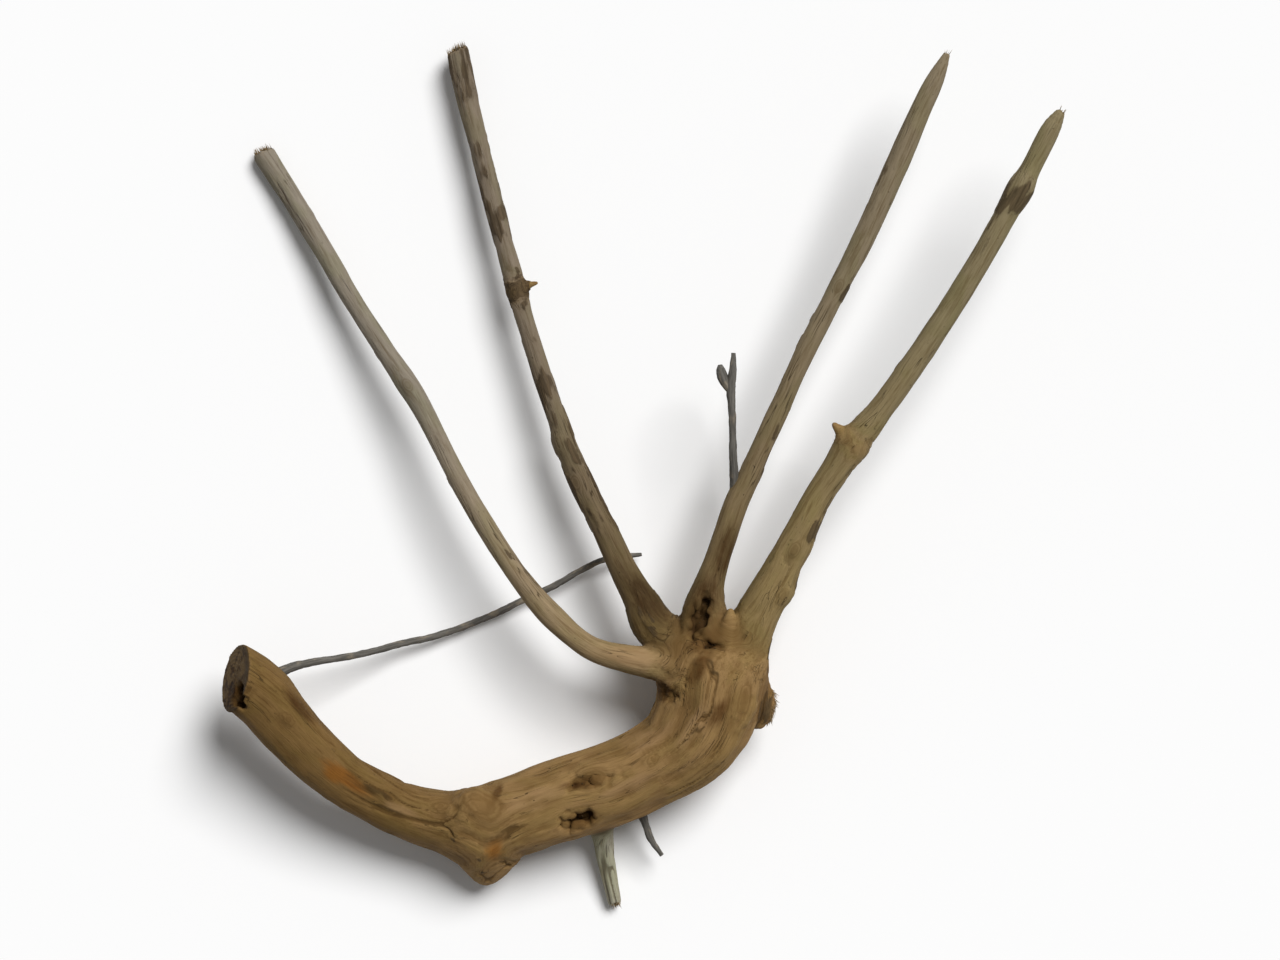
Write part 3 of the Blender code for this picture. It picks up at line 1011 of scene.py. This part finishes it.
def wood_material(colours):
    """Weathered wood: grain streaks, pinkish wear with painted highlight on the tops and crests, rotten
    patches, scraps of bark, stains, cracks, painted shade in the grooves, and rot with painted shade
    deep in the hollows.
    """
    s = Shader("dry_root_wood")
    place = s.attribute("grain", 1)
    tint = s.attribute("tint", 0)
    hollow, crest, crack, bark, sawn = (
        s.attribute(name, 2) for name in ("hollow", "crest", "crack", "bark", "sawn")
    )
    torn, rust, rubbed, rotten, eye = (
        s.attribute(name, 2) for name in ("torn", "rust", "rubbed", "rotten", "eye")
    )

    broad = s.noise(s.stretch(place, 7.0, 34.0), 3.0, 0.6)
    streak = s.noise(s.stretch(place, 1.5, 20.0, 7.0), 4.0, 0.65, 0.3)
    fibre = s.noise(s.stretch(place, 0.42, 7.5, 3.0), 3.0, 0.6, 0.2)
    hair = s.noise(s.stretch(place, 0.16, 4.0, 9.0), 2.0, 0.6)
    blotch = s.noise(s.stretch(place, 3.2, 9.0, 21.0), 4.0, 0.65, 0.6)
    cloud = s.noise(s.stretch(place, 9.0, 20.0, 33.0), 2.0, 0.5, 0.4)

    dark = s.mix(1.0, tint, (0.52, 0.45, 0.34), "MULTIPLY")
    pale = s.mix(1.0, tint, (1.30, 1.30, 1.32), "MULTIPLY")
    olive = s.mix(1.0, tint, (0.86, 0.91, 0.74), "MULTIPLY")
    colour = s.mix(s.step(cloud, 0.42, 0.62) * 0.6, tint, olive)
    colour = s.mix(s.step(streak, 0.50, 0.32) * 0.65, colour, dark)
    colour = s.mix(s.step(streak, 0.54, 0.80) * 0.75, colour, pale)
    colour = s.mix(s.step(fibre, 0.52, 0.72) * 0.45, colour, pale)
    colour = s.mix(s.step(fibre, 0.46, 0.28) * 0.50, colour, dark)
    colour = s.mix(s.step(hair, 0.45, 0.30) * 0.30, colour, dark)

    # Lighter pinkish wood on the patches, in random broad tone and on the crests: partly wear, partly
    # painted highlight.
    wear_and_highlight_share = s.step(rubbed * 0.8 + (broad - 0.5) * 0.7 + (crest - 0.5) * 0.8, 0.20, 1.0) * 0.55
    colour = s.mix(wear_and_highlight_share, colour, s.mix(streak, shade(colours.rubbed, 0.8), colours.rubbed))
    stained = s.step(rust + (streak - 0.5) * 0.9 + (blotch - 0.5) * 0.4, 0.10, 1.0)
    colour = s.mix(stained, colour, colours.rust, "MULTIPLY")
    decayed = s.step(rotten * 0.95 + (streak - 0.5) * 1.5 + (blotch - 0.5) * 0.9, 0.12, 1.25)
    colour = s.mix(decayed, colour, colours.rotten, "MULTIPLY")

    ripple = s.wave(eye * 15.0 + (blotch - 0.5) * 5.0)
    colour = s.mix(s.step(eye, 0.05, 0.6) * (0.25 + ripple * 0.35), colour, dark)

    flaking = s.step(bark + (blotch - 0.5) * 0.45 + (fibre - 0.5) * 0.5, 0.38, 0.62)
    scrap = s.mix(s.step(streak, 0.3, 0.7), shade(colours.bark, 0.6), shade(colours.bark, 1.6))
    scrap = s.mix(s.step(fibre, 0.5, 0.75) * 0.6, scrap, shade(colours.bark, 2.4))
    colour = s.mix(flaking * 0.8, colour, scrap)

    split = s.noise(s.stretch(place, 1.25, 30.0, 41.0), 1.0, 0.4, 0.4)
    line = 1.0 - s.step(abs(split - 0.5), 0.004, 0.020)
    sparse = s.step(s.noise(s.stretch(place, 5.0, 22.0, 60.0), 1.0), 0.54, 0.68)
    hairline = line * sparse
    pit = s.noise(s.stretch(place, 0.9, 1.8, 80.0), 1.0)
    pitted = s.step(pit, 0.73, 0.80) * s.step(broad, 0.45, 0.6)
    colour = s.mix(hairline * 0.70, colour, colours.hollow)
    colour = s.mix(pitted * 0.5, colour, colours.hollow)
    colour = s.mix(s.step(crack, 0.25, 0.9) * 0.65, colour, colours.hollow)
    # Painted shade: the wood is darkened in the grooves, where a point sinks below its surroundings.
    low = s.step(crest, 0.45, 0.08)
    colour = s.mix(low * 0.5, colour, dark)

    # Darker the deeper a point lies in a hollow, nearly black at the bottom: partly the rot's colour,
    # partly painted shade.
    sunk = hollow + (fibre - 0.5) * 0.5
    colour = s.mix(s.step(sunk, 0.04, 0.80), colour, colours.rotten, "MULTIPLY")
    deep_rot_and_shade = s.step(sunk, 0.45, 1.15)
    colour = s.mix(deep_rot_and_shade * 0.9, colour, s.mix(fibre, colours.hollow, shade(colours.hollow, 2.4)))
    broken = s.mix(s.step(fibre, 0.35, 0.65), dark, s.mix(1.0, tint, (1.5, 1.45, 1.4), "MULTIPLY"))
    colour = s.mix(torn * 0.8, colour, broken)

    roughness = s.level(streak, 0.2, 0.8, 0.90, 0.68)
    height = fibre * 0.55 + hair * 0.20 + streak * 0.35 + blotch * 0.12
    height = height + flaking * 0.35 - hairline * 0.9 - pitted * 0.8

    face_colour, face_height = sawn_face(s, place, colours)
    face_colour = s.mix(decayed, face_colour, colours.rotten, "MULTIPLY")
    colour = s.mix(sawn * (1.0 - deep_rot_and_shade), colour, face_colour)
    height = height * (1.0 - sawn) + face_height * sawn
    return s.finish(colour, roughness, height, 0.00035)


def sawn_face(s, place, colours):
    """The sawn end's growth rings, rays and dirt."""
    flat = s.vector("MULTIPLY", place, (1.0, 1.0, 0.0))
    wander = s.noise(s.vector("MULTIPLY", flat, (0.16, 0.16, 0.16)), 2.0)
    pith = s.vector("ADD", flat, (2.4, -1.6, 0.0))
    out = s.vector("LENGTH", pith)
    ring = s.wave((out + wander * 2.6) * 4.6)
    speckle = s.noise(s.vector("MULTIPLY", place, (3.5, 3.5, 3.5)), 3.0)
    grime = s.noise(s.vector("MULTIPLY", place, (0.35, 0.35, 0.35)), 3.0, 0.6)
    sheet = s.mix(ring * 0.55 + speckle * 0.4, shade(colours.sawn, 0.58), colours.sawn)
    sheet = s.mix(s.step(grime, 0.44, 0.64), sheet, colours.rotten, "MULTIPLY")
    rim = s.step(out + (wander - 0.5) * 4.0, 9.0, 12.6)
    sheet = s.mix(rim * 0.8, sheet, colours.bark)
    return sheet, ring * 0.25 + speckle * 0.5


def rootlet_material(colours):
    """Thin rootlet skin: dark grey with fine pale lines along it."""
    s = Shader("rootlet_skin")
    place = s.attribute("grain", 1)
    line = s.noise(s.stretch(place, 0.5, 6.0), 3.0, 0.6)
    band = s.noise(s.stretch(place, 3.0, 7.0, 5.0), 3.0, 0.6)
    skin = colours.rootlet
    colour = s.mix(s.step(line, 0.35, 0.7), shade(skin, 0.55), skin)
    colour = s.mix(s.step(band, 0.5, 0.7) * 0.6, colour, (skin[0] * 2.0, skin[1] * 1.75, skin[2] * 1.4))
    return s.finish(colour, s.level(band, 0.3, 0.7, 0.85, 0.7), line + band * 0.4, 0.0002)


def crumb_material(colours):
    """Crumbs of rotten wood and dry soil."""
    s = Shader("crumbs")
    place = s.vector("MULTIPLY", s.node("ShaderNodeTexCoord", {}, output=3), (900.0, 900.0, 900.0))
    grain = s.noise(place, 2.0)
    colour = s.mix(s.step(grain, 0.35, 0.65), colours.hollow, shade(colours.bark, 1.3))
    return s.finish(colour, s.level(grain, 0.3, 0.7, 0.9, 0.8), grain, 0.0001)


def splinter_material(colours):
    """Pale torn fibres."""
    s = Shader("splinters")
    place = s.vector("MULTIPLY", s.node("ShaderNodeTexCoord", {}, output=3), (500.0, 500.0, 500.0))
    grain = s.noise(place, 2.0)
    pale = colours.finger_one
    colour = s.mix(s.step(grain, 0.3, 0.7), shade(pale, 0.5), pale)
    return s.finish(colour, s.level(grain, 0.3, 0.7, 0.9, 0.75), grain, 0.0001)


# ---------------------------------------------------------------- geometry node trees


def sweep_tree():
    """Sweeps a wrinkled round section along a mesh's edges, as thick as its points say."""
    g = Geometry(
        "sweep_rootlets",
        {"Sides": "Int", "Wrinkle": "Float", "Wrinkle Size": "Float", "Material": "Material"},
    )
    line = g.node("GeometryNodeMeshToCurve", {}, g.given("Geometry"))
    line = g.keep(line, "centre", g.node("GeometryNodeInputPosition", {}))
    line = g.keep(line, "across", g.node("GeometryNodeInputNormal", {}))
    line = g.keep(line, "along", g.node("GeometryNodeInputTangent", {}))
    line = g.keep(line, "run", g.node("GeometryNodeSplineParameter", {}, output=1), "FLOAT")
    ring = g.node("GeometryNodeCurvePrimitiveCircle", {}, g.given("Sides"), 1.0)
    thick = g.attribute("thickness")
    skin = g.node("GeometryNodeCurveToMesh", {}, line, Profile_Curve=ring, Scale=thick, Fill_Caps=True)
    place = g.node("GeometryNodeInputPosition", {})
    out = g.vector("SUBTRACT", place, g.attribute("centre", "FLOAT_VECTOR"))
    across, along = g.attribute("across", "FLOAT_VECTOR"), g.attribute("along", "FLOAT_VECTOR")
    beside = g.vector("CROSS_PRODUCT", along, across)
    sideways = [g.vector("DOT_PRODUCT", out, side) for side in (across, beside)]
    grain = g.node("ShaderNodeCombineXYZ", {}, *sideways, g.attribute("run"))
    skin = g.keep(skin, "grain", g.vector("MULTIPLY", grain, (1 / MM, 1 / MM, 1 / MM)))
    often = 1.0 / g.given("Wrinkle Size")
    bumps = g.node("ShaderNodeTexNoise", {}, Vector=place, Scale=often, Detail=2.0)
    shift = g.scale(g.vector("NORMALIZE", out), (bumps - 0.5) * g.given("Wrinkle"))
    skin = g.node("GeometryNodeSetPosition", {}, skin, Offset=shift)
    return g.finish(skin, g.given("Material"))


def scatter_tree(name, shape):
    """Strews copies of a small shape over a surface, as thick as one of its attributes says."""
    g = Geometry(
        name,
        {
            "Share": "String",
            "Density": "Float",
            "Smallest": "Vector",
            "Largest": "Vector",
            "Tilt": "Float",
            "Seed": "Int",
            "Material": "Material",
        },
    )
    surface, seed = g.given("Geometry"), g.given("Seed")
    density = g.attribute(g.given("Share")) * g.given("Density")
    spots = g.node("GeometryNodeDistributePointsOnFaces", {}, surface, Density=density, Seed=seed)
    facing = Value(g, spots.socket.node.outputs["Normal"])
    flow = g.attribute("flow", "FLOAT_VECTOR")
    lean = g.random((-1.0, -1.0, -1.0), (1.0, 1.0, 1.0), seed)
    lean = g.scale(lean, g.given("Tilt"))
    rise = g.scale(facing, g.given("Tilt"))
    along = g.vector("ADD", flow, g.vector("ADD", lean, rise))
    turn = g.node("FunctionNodeAlignRotationToVector", {"axis": "Z"}, Vector=along)
    size = g.random(g.given("Smallest"), g.given("Largest"), seed)
    placing = {"Instance": shape(g), "Rotation": turn, "Scale": size}
    return g.finish(g.node("GeometryNodeInstanceOnPoints", {}, spots, **placing), g.given("Material"))


def crumb_shape(g):
    return g.node("GeometryNodeMeshIcoSphere", {}, 1.0, 2)


def splinter_shape(g):
    return g.node("GeometryNodeMeshCone", {"fill_type": "NGON"}, 6, 2, 1, 0.05, 1.0, 1.0)


# ---------------------------------------------------------------- meshes


def mesh_from(name, points, faces, material):
    """A smooth-shaded mesh object from points in millimetres."""
    mesh = bpy.data.meshes.new(name)
    mesh.from_pydata((points * MM).tolist(), [], faces.tolist())
    mesh.shade_smooth()
    mesh.materials.append(material)
    obj = bpy.data.objects.new(name, mesh)
    bpy.context.scene.collection.objects.link(obj)
    return obj


def points_of(mesh):
    """A mesh's points, in millimetres."""
    co = np.empty(len(mesh.vertices) * 3, np.float32)
    mesh.vertices.foreach_get("co", co)
    return co.reshape(-1, 3).astype(float) / MM


def store(mesh, name, values):
    """Puts numbers or vectors on a mesh's points."""
    if values.ndim == 1:
        attribute = mesh.attributes.new(name, "FLOAT", "POINT")
        attribute.data.foreach_set("value", values.astype(np.float32))
    else:
        attribute = mesh.attributes.new(name, "FLOAT_VECTOR", "POINT")
        attribute.data.foreach_set("vector", values.astype(np.float32).ravel())


def evaluated(obj, name):
    """The object with what its modifiers make as its plain mesh."""
    graph = bpy.context.evaluated_depsgraph_get()
    mesh = bpy.data.meshes.new_from_object(obj.evaluated_get(graph))
    obj.modifiers.clear()
    obj.data = mesh
    mesh.name = name
    return obj


def hand_over(obj):
    """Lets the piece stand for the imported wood."""
    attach(obj, "root")
    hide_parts("dry_root")


def limb_tints(grain, colours):
    """Each point's wood colour, from the limbs that it belongs to and how far out on them it is."""
    along = grain.place[:, 2]
    share = np.clip((along - HEAD_STARTS) / 50, 0, 1)[:, None]
    stem = np.array(colours.arm) * (1 - share) + np.array(colours.trunk) * share
    tint = np.zeros((len(along), 3))
    for name, weight in grain.weights.items():
        own = stem
        if name.startswith("finger"):
            root, tip = (np.array(getattr(colours, end)) for end in (name, name + "_tip"))
            out = np.clip((along - FINGERS_START) / 35, 0, 1)[:, None]
            far = np.clip((along - TIPS_START) / 130, 0, 1)[:, None]
            own = stem * (1 - out) + (root * (1 - far) + tip * far) * out
        elif name == "stub":
            own = np.array(colours.stub)
        tint += own * weight[:, None]
    return tint


# ---------------------------------------------------------------- settings


def number(name, description, default):
    return FloatProperty(name=name, description=description, default=default)


def length(name, description, default):
    return FloatProperty(name=name, description=description, default=default, unit="LENGTH")


def colour(name, description, default):
    facts = {"name": name, "description": description, "default": default}
    return FloatVectorProperty(**facts, size=3, subtype="COLOR", min=0, soft_max=1)


class DryRootSizes(bpy.types.PropertyGroup):
    step: length("Mesh Step", "Spacing of the wood's first points", 0.0006)
    faces: IntProperty(
        name="Triangles", description="Most triangles that the wood keeps", default=196000, min=10000
    )
    lumps: number("Lumps", "Depth of the broad unevenness, in mm", 0.8)
    flutes: number("Flutes", "Depth of the long hollows along a limb, in mm", 0.75)
    ridges: number("Ridges", "Depth of the ridges along the grain, in mm", 0.26)
    fibres: number("Fibres", "Depth of the fibres, in mm", 0.06)
    cracks: number("Cracks", "Depth of the drying cracks, in mm", 0.8)
    bark: number("Bark", "Thickness of the bark that is left, in mm", 0.28)
    wrinkle: length("Wrinkle", "Unevenness of the thin rootlets", 0.0007)
    crumbs: number("Crumbs", "Crumbs for each square metre of a hollow", 160000)
    splinters: number("Splinters", "Splinters for each square metre of a break", 1500000)


class DryRootColours(bpy.types.PropertyGroup):
    trunk: colour("Trunk", "Olive tan wood of the trunk and the fork head", (0.252, 0.153, 0.060))
    arm: colour("Arm", "Darker wood towards the sawn end", (0.158, 0.092, 0.030))
    finger_one: colour("First Finger", "Pale khaki wood", (0.270, 0.185, 0.090))
    finger_one_tip: colour("First Tip", "The same, greyer at the tip", (0.215, 0.185, 0.142))
    finger_two: colour("Second Finger", "Dark brown wood", (0.112, 0.074, 0.030))
    finger_two_tip: colour("Second Tip", "The same, greyer at the tip", (0.185, 0.148, 0.106))
    finger_three: colour("Third Finger", "Brown wood", (0.165, 0.112, 0.050))
    finger_three_tip: colour("Third Tip", "The same, paler at the tip", (0.208, 0.165, 0.104))
    finger_four: colour("Fourth Finger", "Olive tan wood", (0.245, 0.172, 0.072))
    finger_four_tip: colour("Fourth Tip", "The same at the tip", (0.205, 0.165, 0.090))
    stub: colour("Stub", "Grey olive wood", (0.335, 0.315, 0.240))
    # Lighter pinkish wood for the tops and crests, partly wear and partly painted highlight.
    rubbed: colour("Rubbed", "Rubbed pinkish wood", (0.335, 0.205, 0.098))
    rust: colour("Rust", "How a stain tints the wood, orange-brown", (1.16, 0.80, 0.40))
    rotten: colour("Rotten", "How soft rot tints the wood, dark brown", (0.34, 0.25, 0.15))
    bark: colour("Bark", "Scraps of dark bark", (0.048, 0.031, 0.015))
    # Near-black for the depths of the hollows, partly rot and partly painted shade; it also colours the
    # cracks, the pits and the crumbs.
    hollow: colour("Hollows", "Rot and dirt in the hollows", (0.030, 0.0155, 0.004))
    sawn: colour("Sawn End", "End grain", (0.150, 0.094, 0.038))
    rootlet: colour("Rootlets", "Dark grey rootlet skin", (0.145, 0.135, 0.118))
    floor: colour("Floor", "Pale table", (0.90, 0.90, 0.90))


class DryRootStage(bpy.types.PropertyGroup):
    view_height: length("View Height", "Height of the table that the camera takes in", 0.352)
    camera_height: length("Camera Height", "Height of the camera over the table", 1.6)
    sun: number("Key Light", "Strength of the soft key light", 3.5)
    sky: number("Fill Light", "Strength of the light from all round", 0.20)


# ---------------------------------------------------------------- operators


class DRYROOT_OT_wood(bpy.types.Operator):
    """Grow the root's wood: butt, fork head, fingers, stub, swellings and hollows"""

    bl_idname = "dryroot.wood"
    bl_label = "Grow Wood"

    def execute(self, context):
        sizes, colours = context.scene.dry_root_sizes, context.scene.dry_root_colours
        points, faces, limbs, sound = grow_wood(sizes)
        grain = Grain(limbs, points)
        normals = outward(points, faces)
        bark = bark_left(points, grain)
        height, _ = relief(points, grain, bark, hollow_depth(points, sound), sizes)
        height *= 1 - cut_share(points, normals, SAWN_CENTRE, SAWN_NORMAL, SAWN_REACH)
        height *= np.clip(points[:, 2] / FOOT_FADE, 0, 1)
        points = points + normals * height[:, None]
        points[:, 2] = np.maximum(points[:, 2], 0.0)
        wood = mesh_from("root_wood", points, faces, wood_material(colours))
        if 2 * len(faces) > sizes.faces:
            thin = wood.modifiers.new("thin", "DECIMATE")
            thin.ratio = sizes.faces / (2 * len(faces))
        evaluated(wood, "root_wood")
        mark_wood(wood.data, limbs, sound, sizes, colours)
        hand_over(wood)
        return {"FINISHED"}


def hollow_depth(points, sound):
    """From 0 on the open surface to 1 where rot has taken away a few millimetres of wood."""
    lost, _ = sound.sample(points)
    return np.clip((-lost - HOLLOW_STARTS) / HOLLOW_DEEPENS, 0, 1)


def cut_share(points, normals, point, normal, reach):
    """1 on a cut face and 0 off it."""
    normal = unit(np.array(normal, float))
    away = points - (np.array(point) - MIDDLE)
    facing = np.clip((normals @ normal - 0.5) / 0.3, 0, 1)
    share = np.clip(2.2 - np.abs(away @ normal) / 0.6, 0, 1) * facing
    return np.where(np.linalg.norm(away, axis=1) < reach, share, 0)


def mark_wood(mesh, limbs, sound, sizes, colours):
    """Stores what the material reads on the finished wood's points."""
    points = points_of(mesh)
    grain = Grain(limbs, points)
    normals = np.empty(len(points) * 3, np.float32)
    mesh.vertices.foreach_get("normal", normals)
    normals = normals.reshape(-1, 3).astype(float)
    bark = bark_left(points, grain)
    hollow = hollow_depth(points, sound)
    _, cracks = relief(points, grain, bark, hollow, sizes)
    torn = np.zeros(len(points))
    for point, normal in BREAKS:
        torn = np.maximum(torn, cut_share(points, normals, point, normal, BREAK_REACH))
    marks = {
        "grain": grain.place,
        "flow": grain.along,
        "tint": limb_tints(grain, colours),
        "eye": grain.eye,
        "bark": bark,
        "crack": cracks,
        "crest": crests(mesh, points, normals),
        "hollow": hollow,
        "torn": torn,
        "sawn": cut_share(points, normals, SAWN_CENTRE, SAWN_NORMAL, SAWN_REACH),
        "rust": oval_share(points, RUST),
        "rubbed": oval_share(points, WEAR_AND_HIGHLIGHT),
        "rotten": oval_share(points, ROTTEN),
    }
    for name, values in marks.items():
        store(mesh, name, values)


def crests(mesh, points, normals):
    """From 0 in a groove to 1 on a crest, from how far each point stands over its surroundings."""
    ends = np.empty(len(mesh.edges) * 2, np.int32)
    mesh.edges.foreach_get("vertices", ends)
    ends = ends.reshape(-1, 2)
    degree = np.bincount(ends.ravel(), minlength=len(points)).astype(float)
    calm = points
    for _ in range(CREST_ROUNDS):
        columns = [
            np.bincount(ends[:, 0], column[ends[:, 1]], minlength=len(points))
            + np.bincount(ends[:, 1], column[ends[:, 0]], minlength=len(points))
            for column in calm.T
        ]
        calm = np.stack(columns, axis=1) / degree[:, None]
    stand = ((points - calm) * normals).sum(1)
    return np.clip(0.5 + (stand - np.median(stand)) / CREST_HEIGHT, 0, 1)


def path_mesh(name, routes):
    """Several routes as chains of edges, each point holding its thickness."""
    points, edges, thickness = [], [], []
    for route in routes:
        path = smooth_path(route, ROOTLET_SPACING)
        first = len(points)
        points += ((path[:, :3] - MIDDLE) * MM).tolist()
        thickness += (path[:, 3] * MM).tolist()
        edges += [(i, i + 1) for i in range(first, len(points) - 1)]
    mesh = bpy.data.meshes.new(name)
    mesh.from_pydata(points, edges, [])
    store(mesh, "thickness", np.array(thickness))
    return mesh


class DRYROOT_OT_rootlets(bpy.types.Operator):
    """Sweep the thin rootlets: the long one, the twig with its side bud and the thin stub"""

    bl_idname = "dryroot.rootlets"
    bl_label = "Grow Rootlets"

    def execute(self, context):
        sizes, colours = context.scene.dry_root_sizes, context.scene.dry_root_colours
        paths = path_mesh("rootlet_paths", (ROOTLET, TWIG, TWIG_BUD, THIN_STUB))
        settings = {
            "Sides": 12,
            "Wrinkle": sizes.wrinkle,
            "Wrinkle_Size": 0.0026,
            "Material": rootlet_material(colours),
        }
        hand_over(made_by(sweep_tree(), "rootlets", paths, **settings))
        return {"FINISHED"}


class DRYROOT_OT_litter(bpy.types.Operator):
    """Strew crumbs in the hollows and splinters on the broken tips"""

    bl_idname = "dryroot.litter"
    bl_label = "Strew Crumbs and Splinters"

    def execute(self, context):
        sizes, colours = context.scene.dry_root_sizes, context.scene.dry_root_colours
        wood = bpy.data.objects["root_wood"].data
        crumbs = {
            "Share": "hollow",
            "Density": sizes.crumbs,
            "Smallest": (0.00015, 0.00015, 0.00015),
            "Largest": (0.00042, 0.00038, 0.00055),
            "Tilt": 3.0,
            "Seed": 4,
            "Material": crumb_material(colours),
        }
        strewn = scatter_tree("strew_crumbs", crumb_shape)
        hand_over(made_by(strewn, "crumbs", wood.copy(), **crumbs))
        splinters = {
            "Share": "torn",
            "Density": sizes.splinters,
            "Smallest": (0.00008, 0.00008, 0.0007),
            "Largest": (0.00022, 0.00016, 0.0026),
            "Tilt": 0.25,
            "Seed": 9,
            "Material": splinter_material(colours),
        }
        strewn = scatter_tree("strew_splinters", splinter_shape)
        hand_over(made_by(strewn, "splinters", wood.copy(), **splinters))
        return {"FINISHED"}


class DRYROOT_OT_stage(bpy.types.Operator):
    """Lay out the pale table, the soft lights and the camera straight overhead"""

    bl_idname = "dryroot.stage"
    bl_label = "Set Up Table"

    def execute(self, context):
        stage, colours = context.scene.dry_root_stage, context.scene.dry_root_colours
        floor = bpy.data.meshes.new("table")
        corners = [(-1, -1), (1, -1), (1, 1), (-1, 1)]
        floor.from_pydata([(HALF_TABLE * x, HALF_TABLE * y, 0) for x, y in corners], [], [(0, 1, 2, 3)])
        table = bpy.data.objects.new("table", floor)
        context.scene.collection.objects.link(table)
        s = Shader("pale_table")
        mottle = s.noise(s.node("ShaderNodeTexCoord", {}, output=3), 2.0)
        pale = s.mix(mottle, shade(colours.floor, 0.985), colours.floor)
        s.feed(s.surface.inputs["Base Color"], pale)
        s.surface.inputs["Roughness"].default_value = 0.9
        s.surface.inputs["Specular IOR Level"].default_value = 0.0
        floor.materials.append(s.material)

        world = bpy.data.worlds.new("studio")
        world.use_nodes = True
        sky = world.node_tree.nodes["Background"]
        sky.inputs["Color"].default_value = (1.0, 1.0, 1.0, 1.0)
        sky.inputs["Strength"].default_value = stage.sky
        context.scene.world = world
        context.scene.view_settings.view_transform = "Standard"

        key = bpy.data.lights.new("key", "SUN")
        key.energy = stage.sun
        key.angle = KEY_ANGLE
        lamp = bpy.data.objects.new("key", key)
        lamp.rotation_euler = (-KEY_FROM).to_track_quat("-Z", "Y").to_euler()
        context.scene.collection.objects.link(lamp)

        camera = bpy.data.cameras.new("overhead")
        camera.sensor_width = 36
        wide = stage.view_height * 4 / 3
        camera.lens = camera.sensor_width * (stage.camera_height - WOOD_HEIGHT) / wide
        camera.clip_end = 20
        rig = bpy.data.objects.new("overhead", camera)
        rig.location = (0.0, -0.001, stage.camera_height)
        context.scene.collection.objects.link(rig)
        context.scene.camera = rig
        return {"FINISHED"}


class DRYROOT_PT_panel(bpy.types.Panel):
    """The root's pieces and settings"""

    bl_idname = "DRYROOT_PT_panel"
    bl_label = "Dry Root"
    bl_space_type = "VIEW_3D"
    bl_region_type = "UI"
    bl_category = "Dry Root"

    def draw(self, context):
        scene = context.scene
        for settings in (scene.dry_root_sizes, scene.dry_root_colours, scene.dry_root_stage):
            for name in settings.__annotations__:
                self.layout.prop(settings, name)
        for operator in OPERATORS:
            self.layout.operator(operator.bl_idname)


OPERATORS = (DRYROOT_OT_wood, DRYROOT_OT_rootlets, DRYROOT_OT_litter, DRYROOT_OT_stage)
CLASSES = (DryRootSizes, DryRootColours, DryRootStage, *OPERATORS, DRYROOT_PT_panel)


def register():
    for cls in CLASSES:
        bpy.utils.register_class(cls)
    bpy.types.Scene.dry_root_sizes = PointerProperty(type=DryRootSizes)
    bpy.types.Scene.dry_root_colours = PointerProperty(type=DryRootColours)
    bpy.types.Scene.dry_root_stage = PointerProperty(type=DryRootStage)


def unregister():
    del bpy.types.Scene.dry_root_stage
    del bpy.types.Scene.dry_root_colours
    del bpy.types.Scene.dry_root_sizes
    for cls in reversed(CLASSES):
        bpy.utils.unregister_class(cls)


def main():
    register()
    bpy.ops.dryroot.wood()
    bpy.ops.dryroot.rootlets()
    bpy.ops.dryroot.litter()
    bpy.ops.dryroot.stage()


if __name__ == "__main__":
    main()
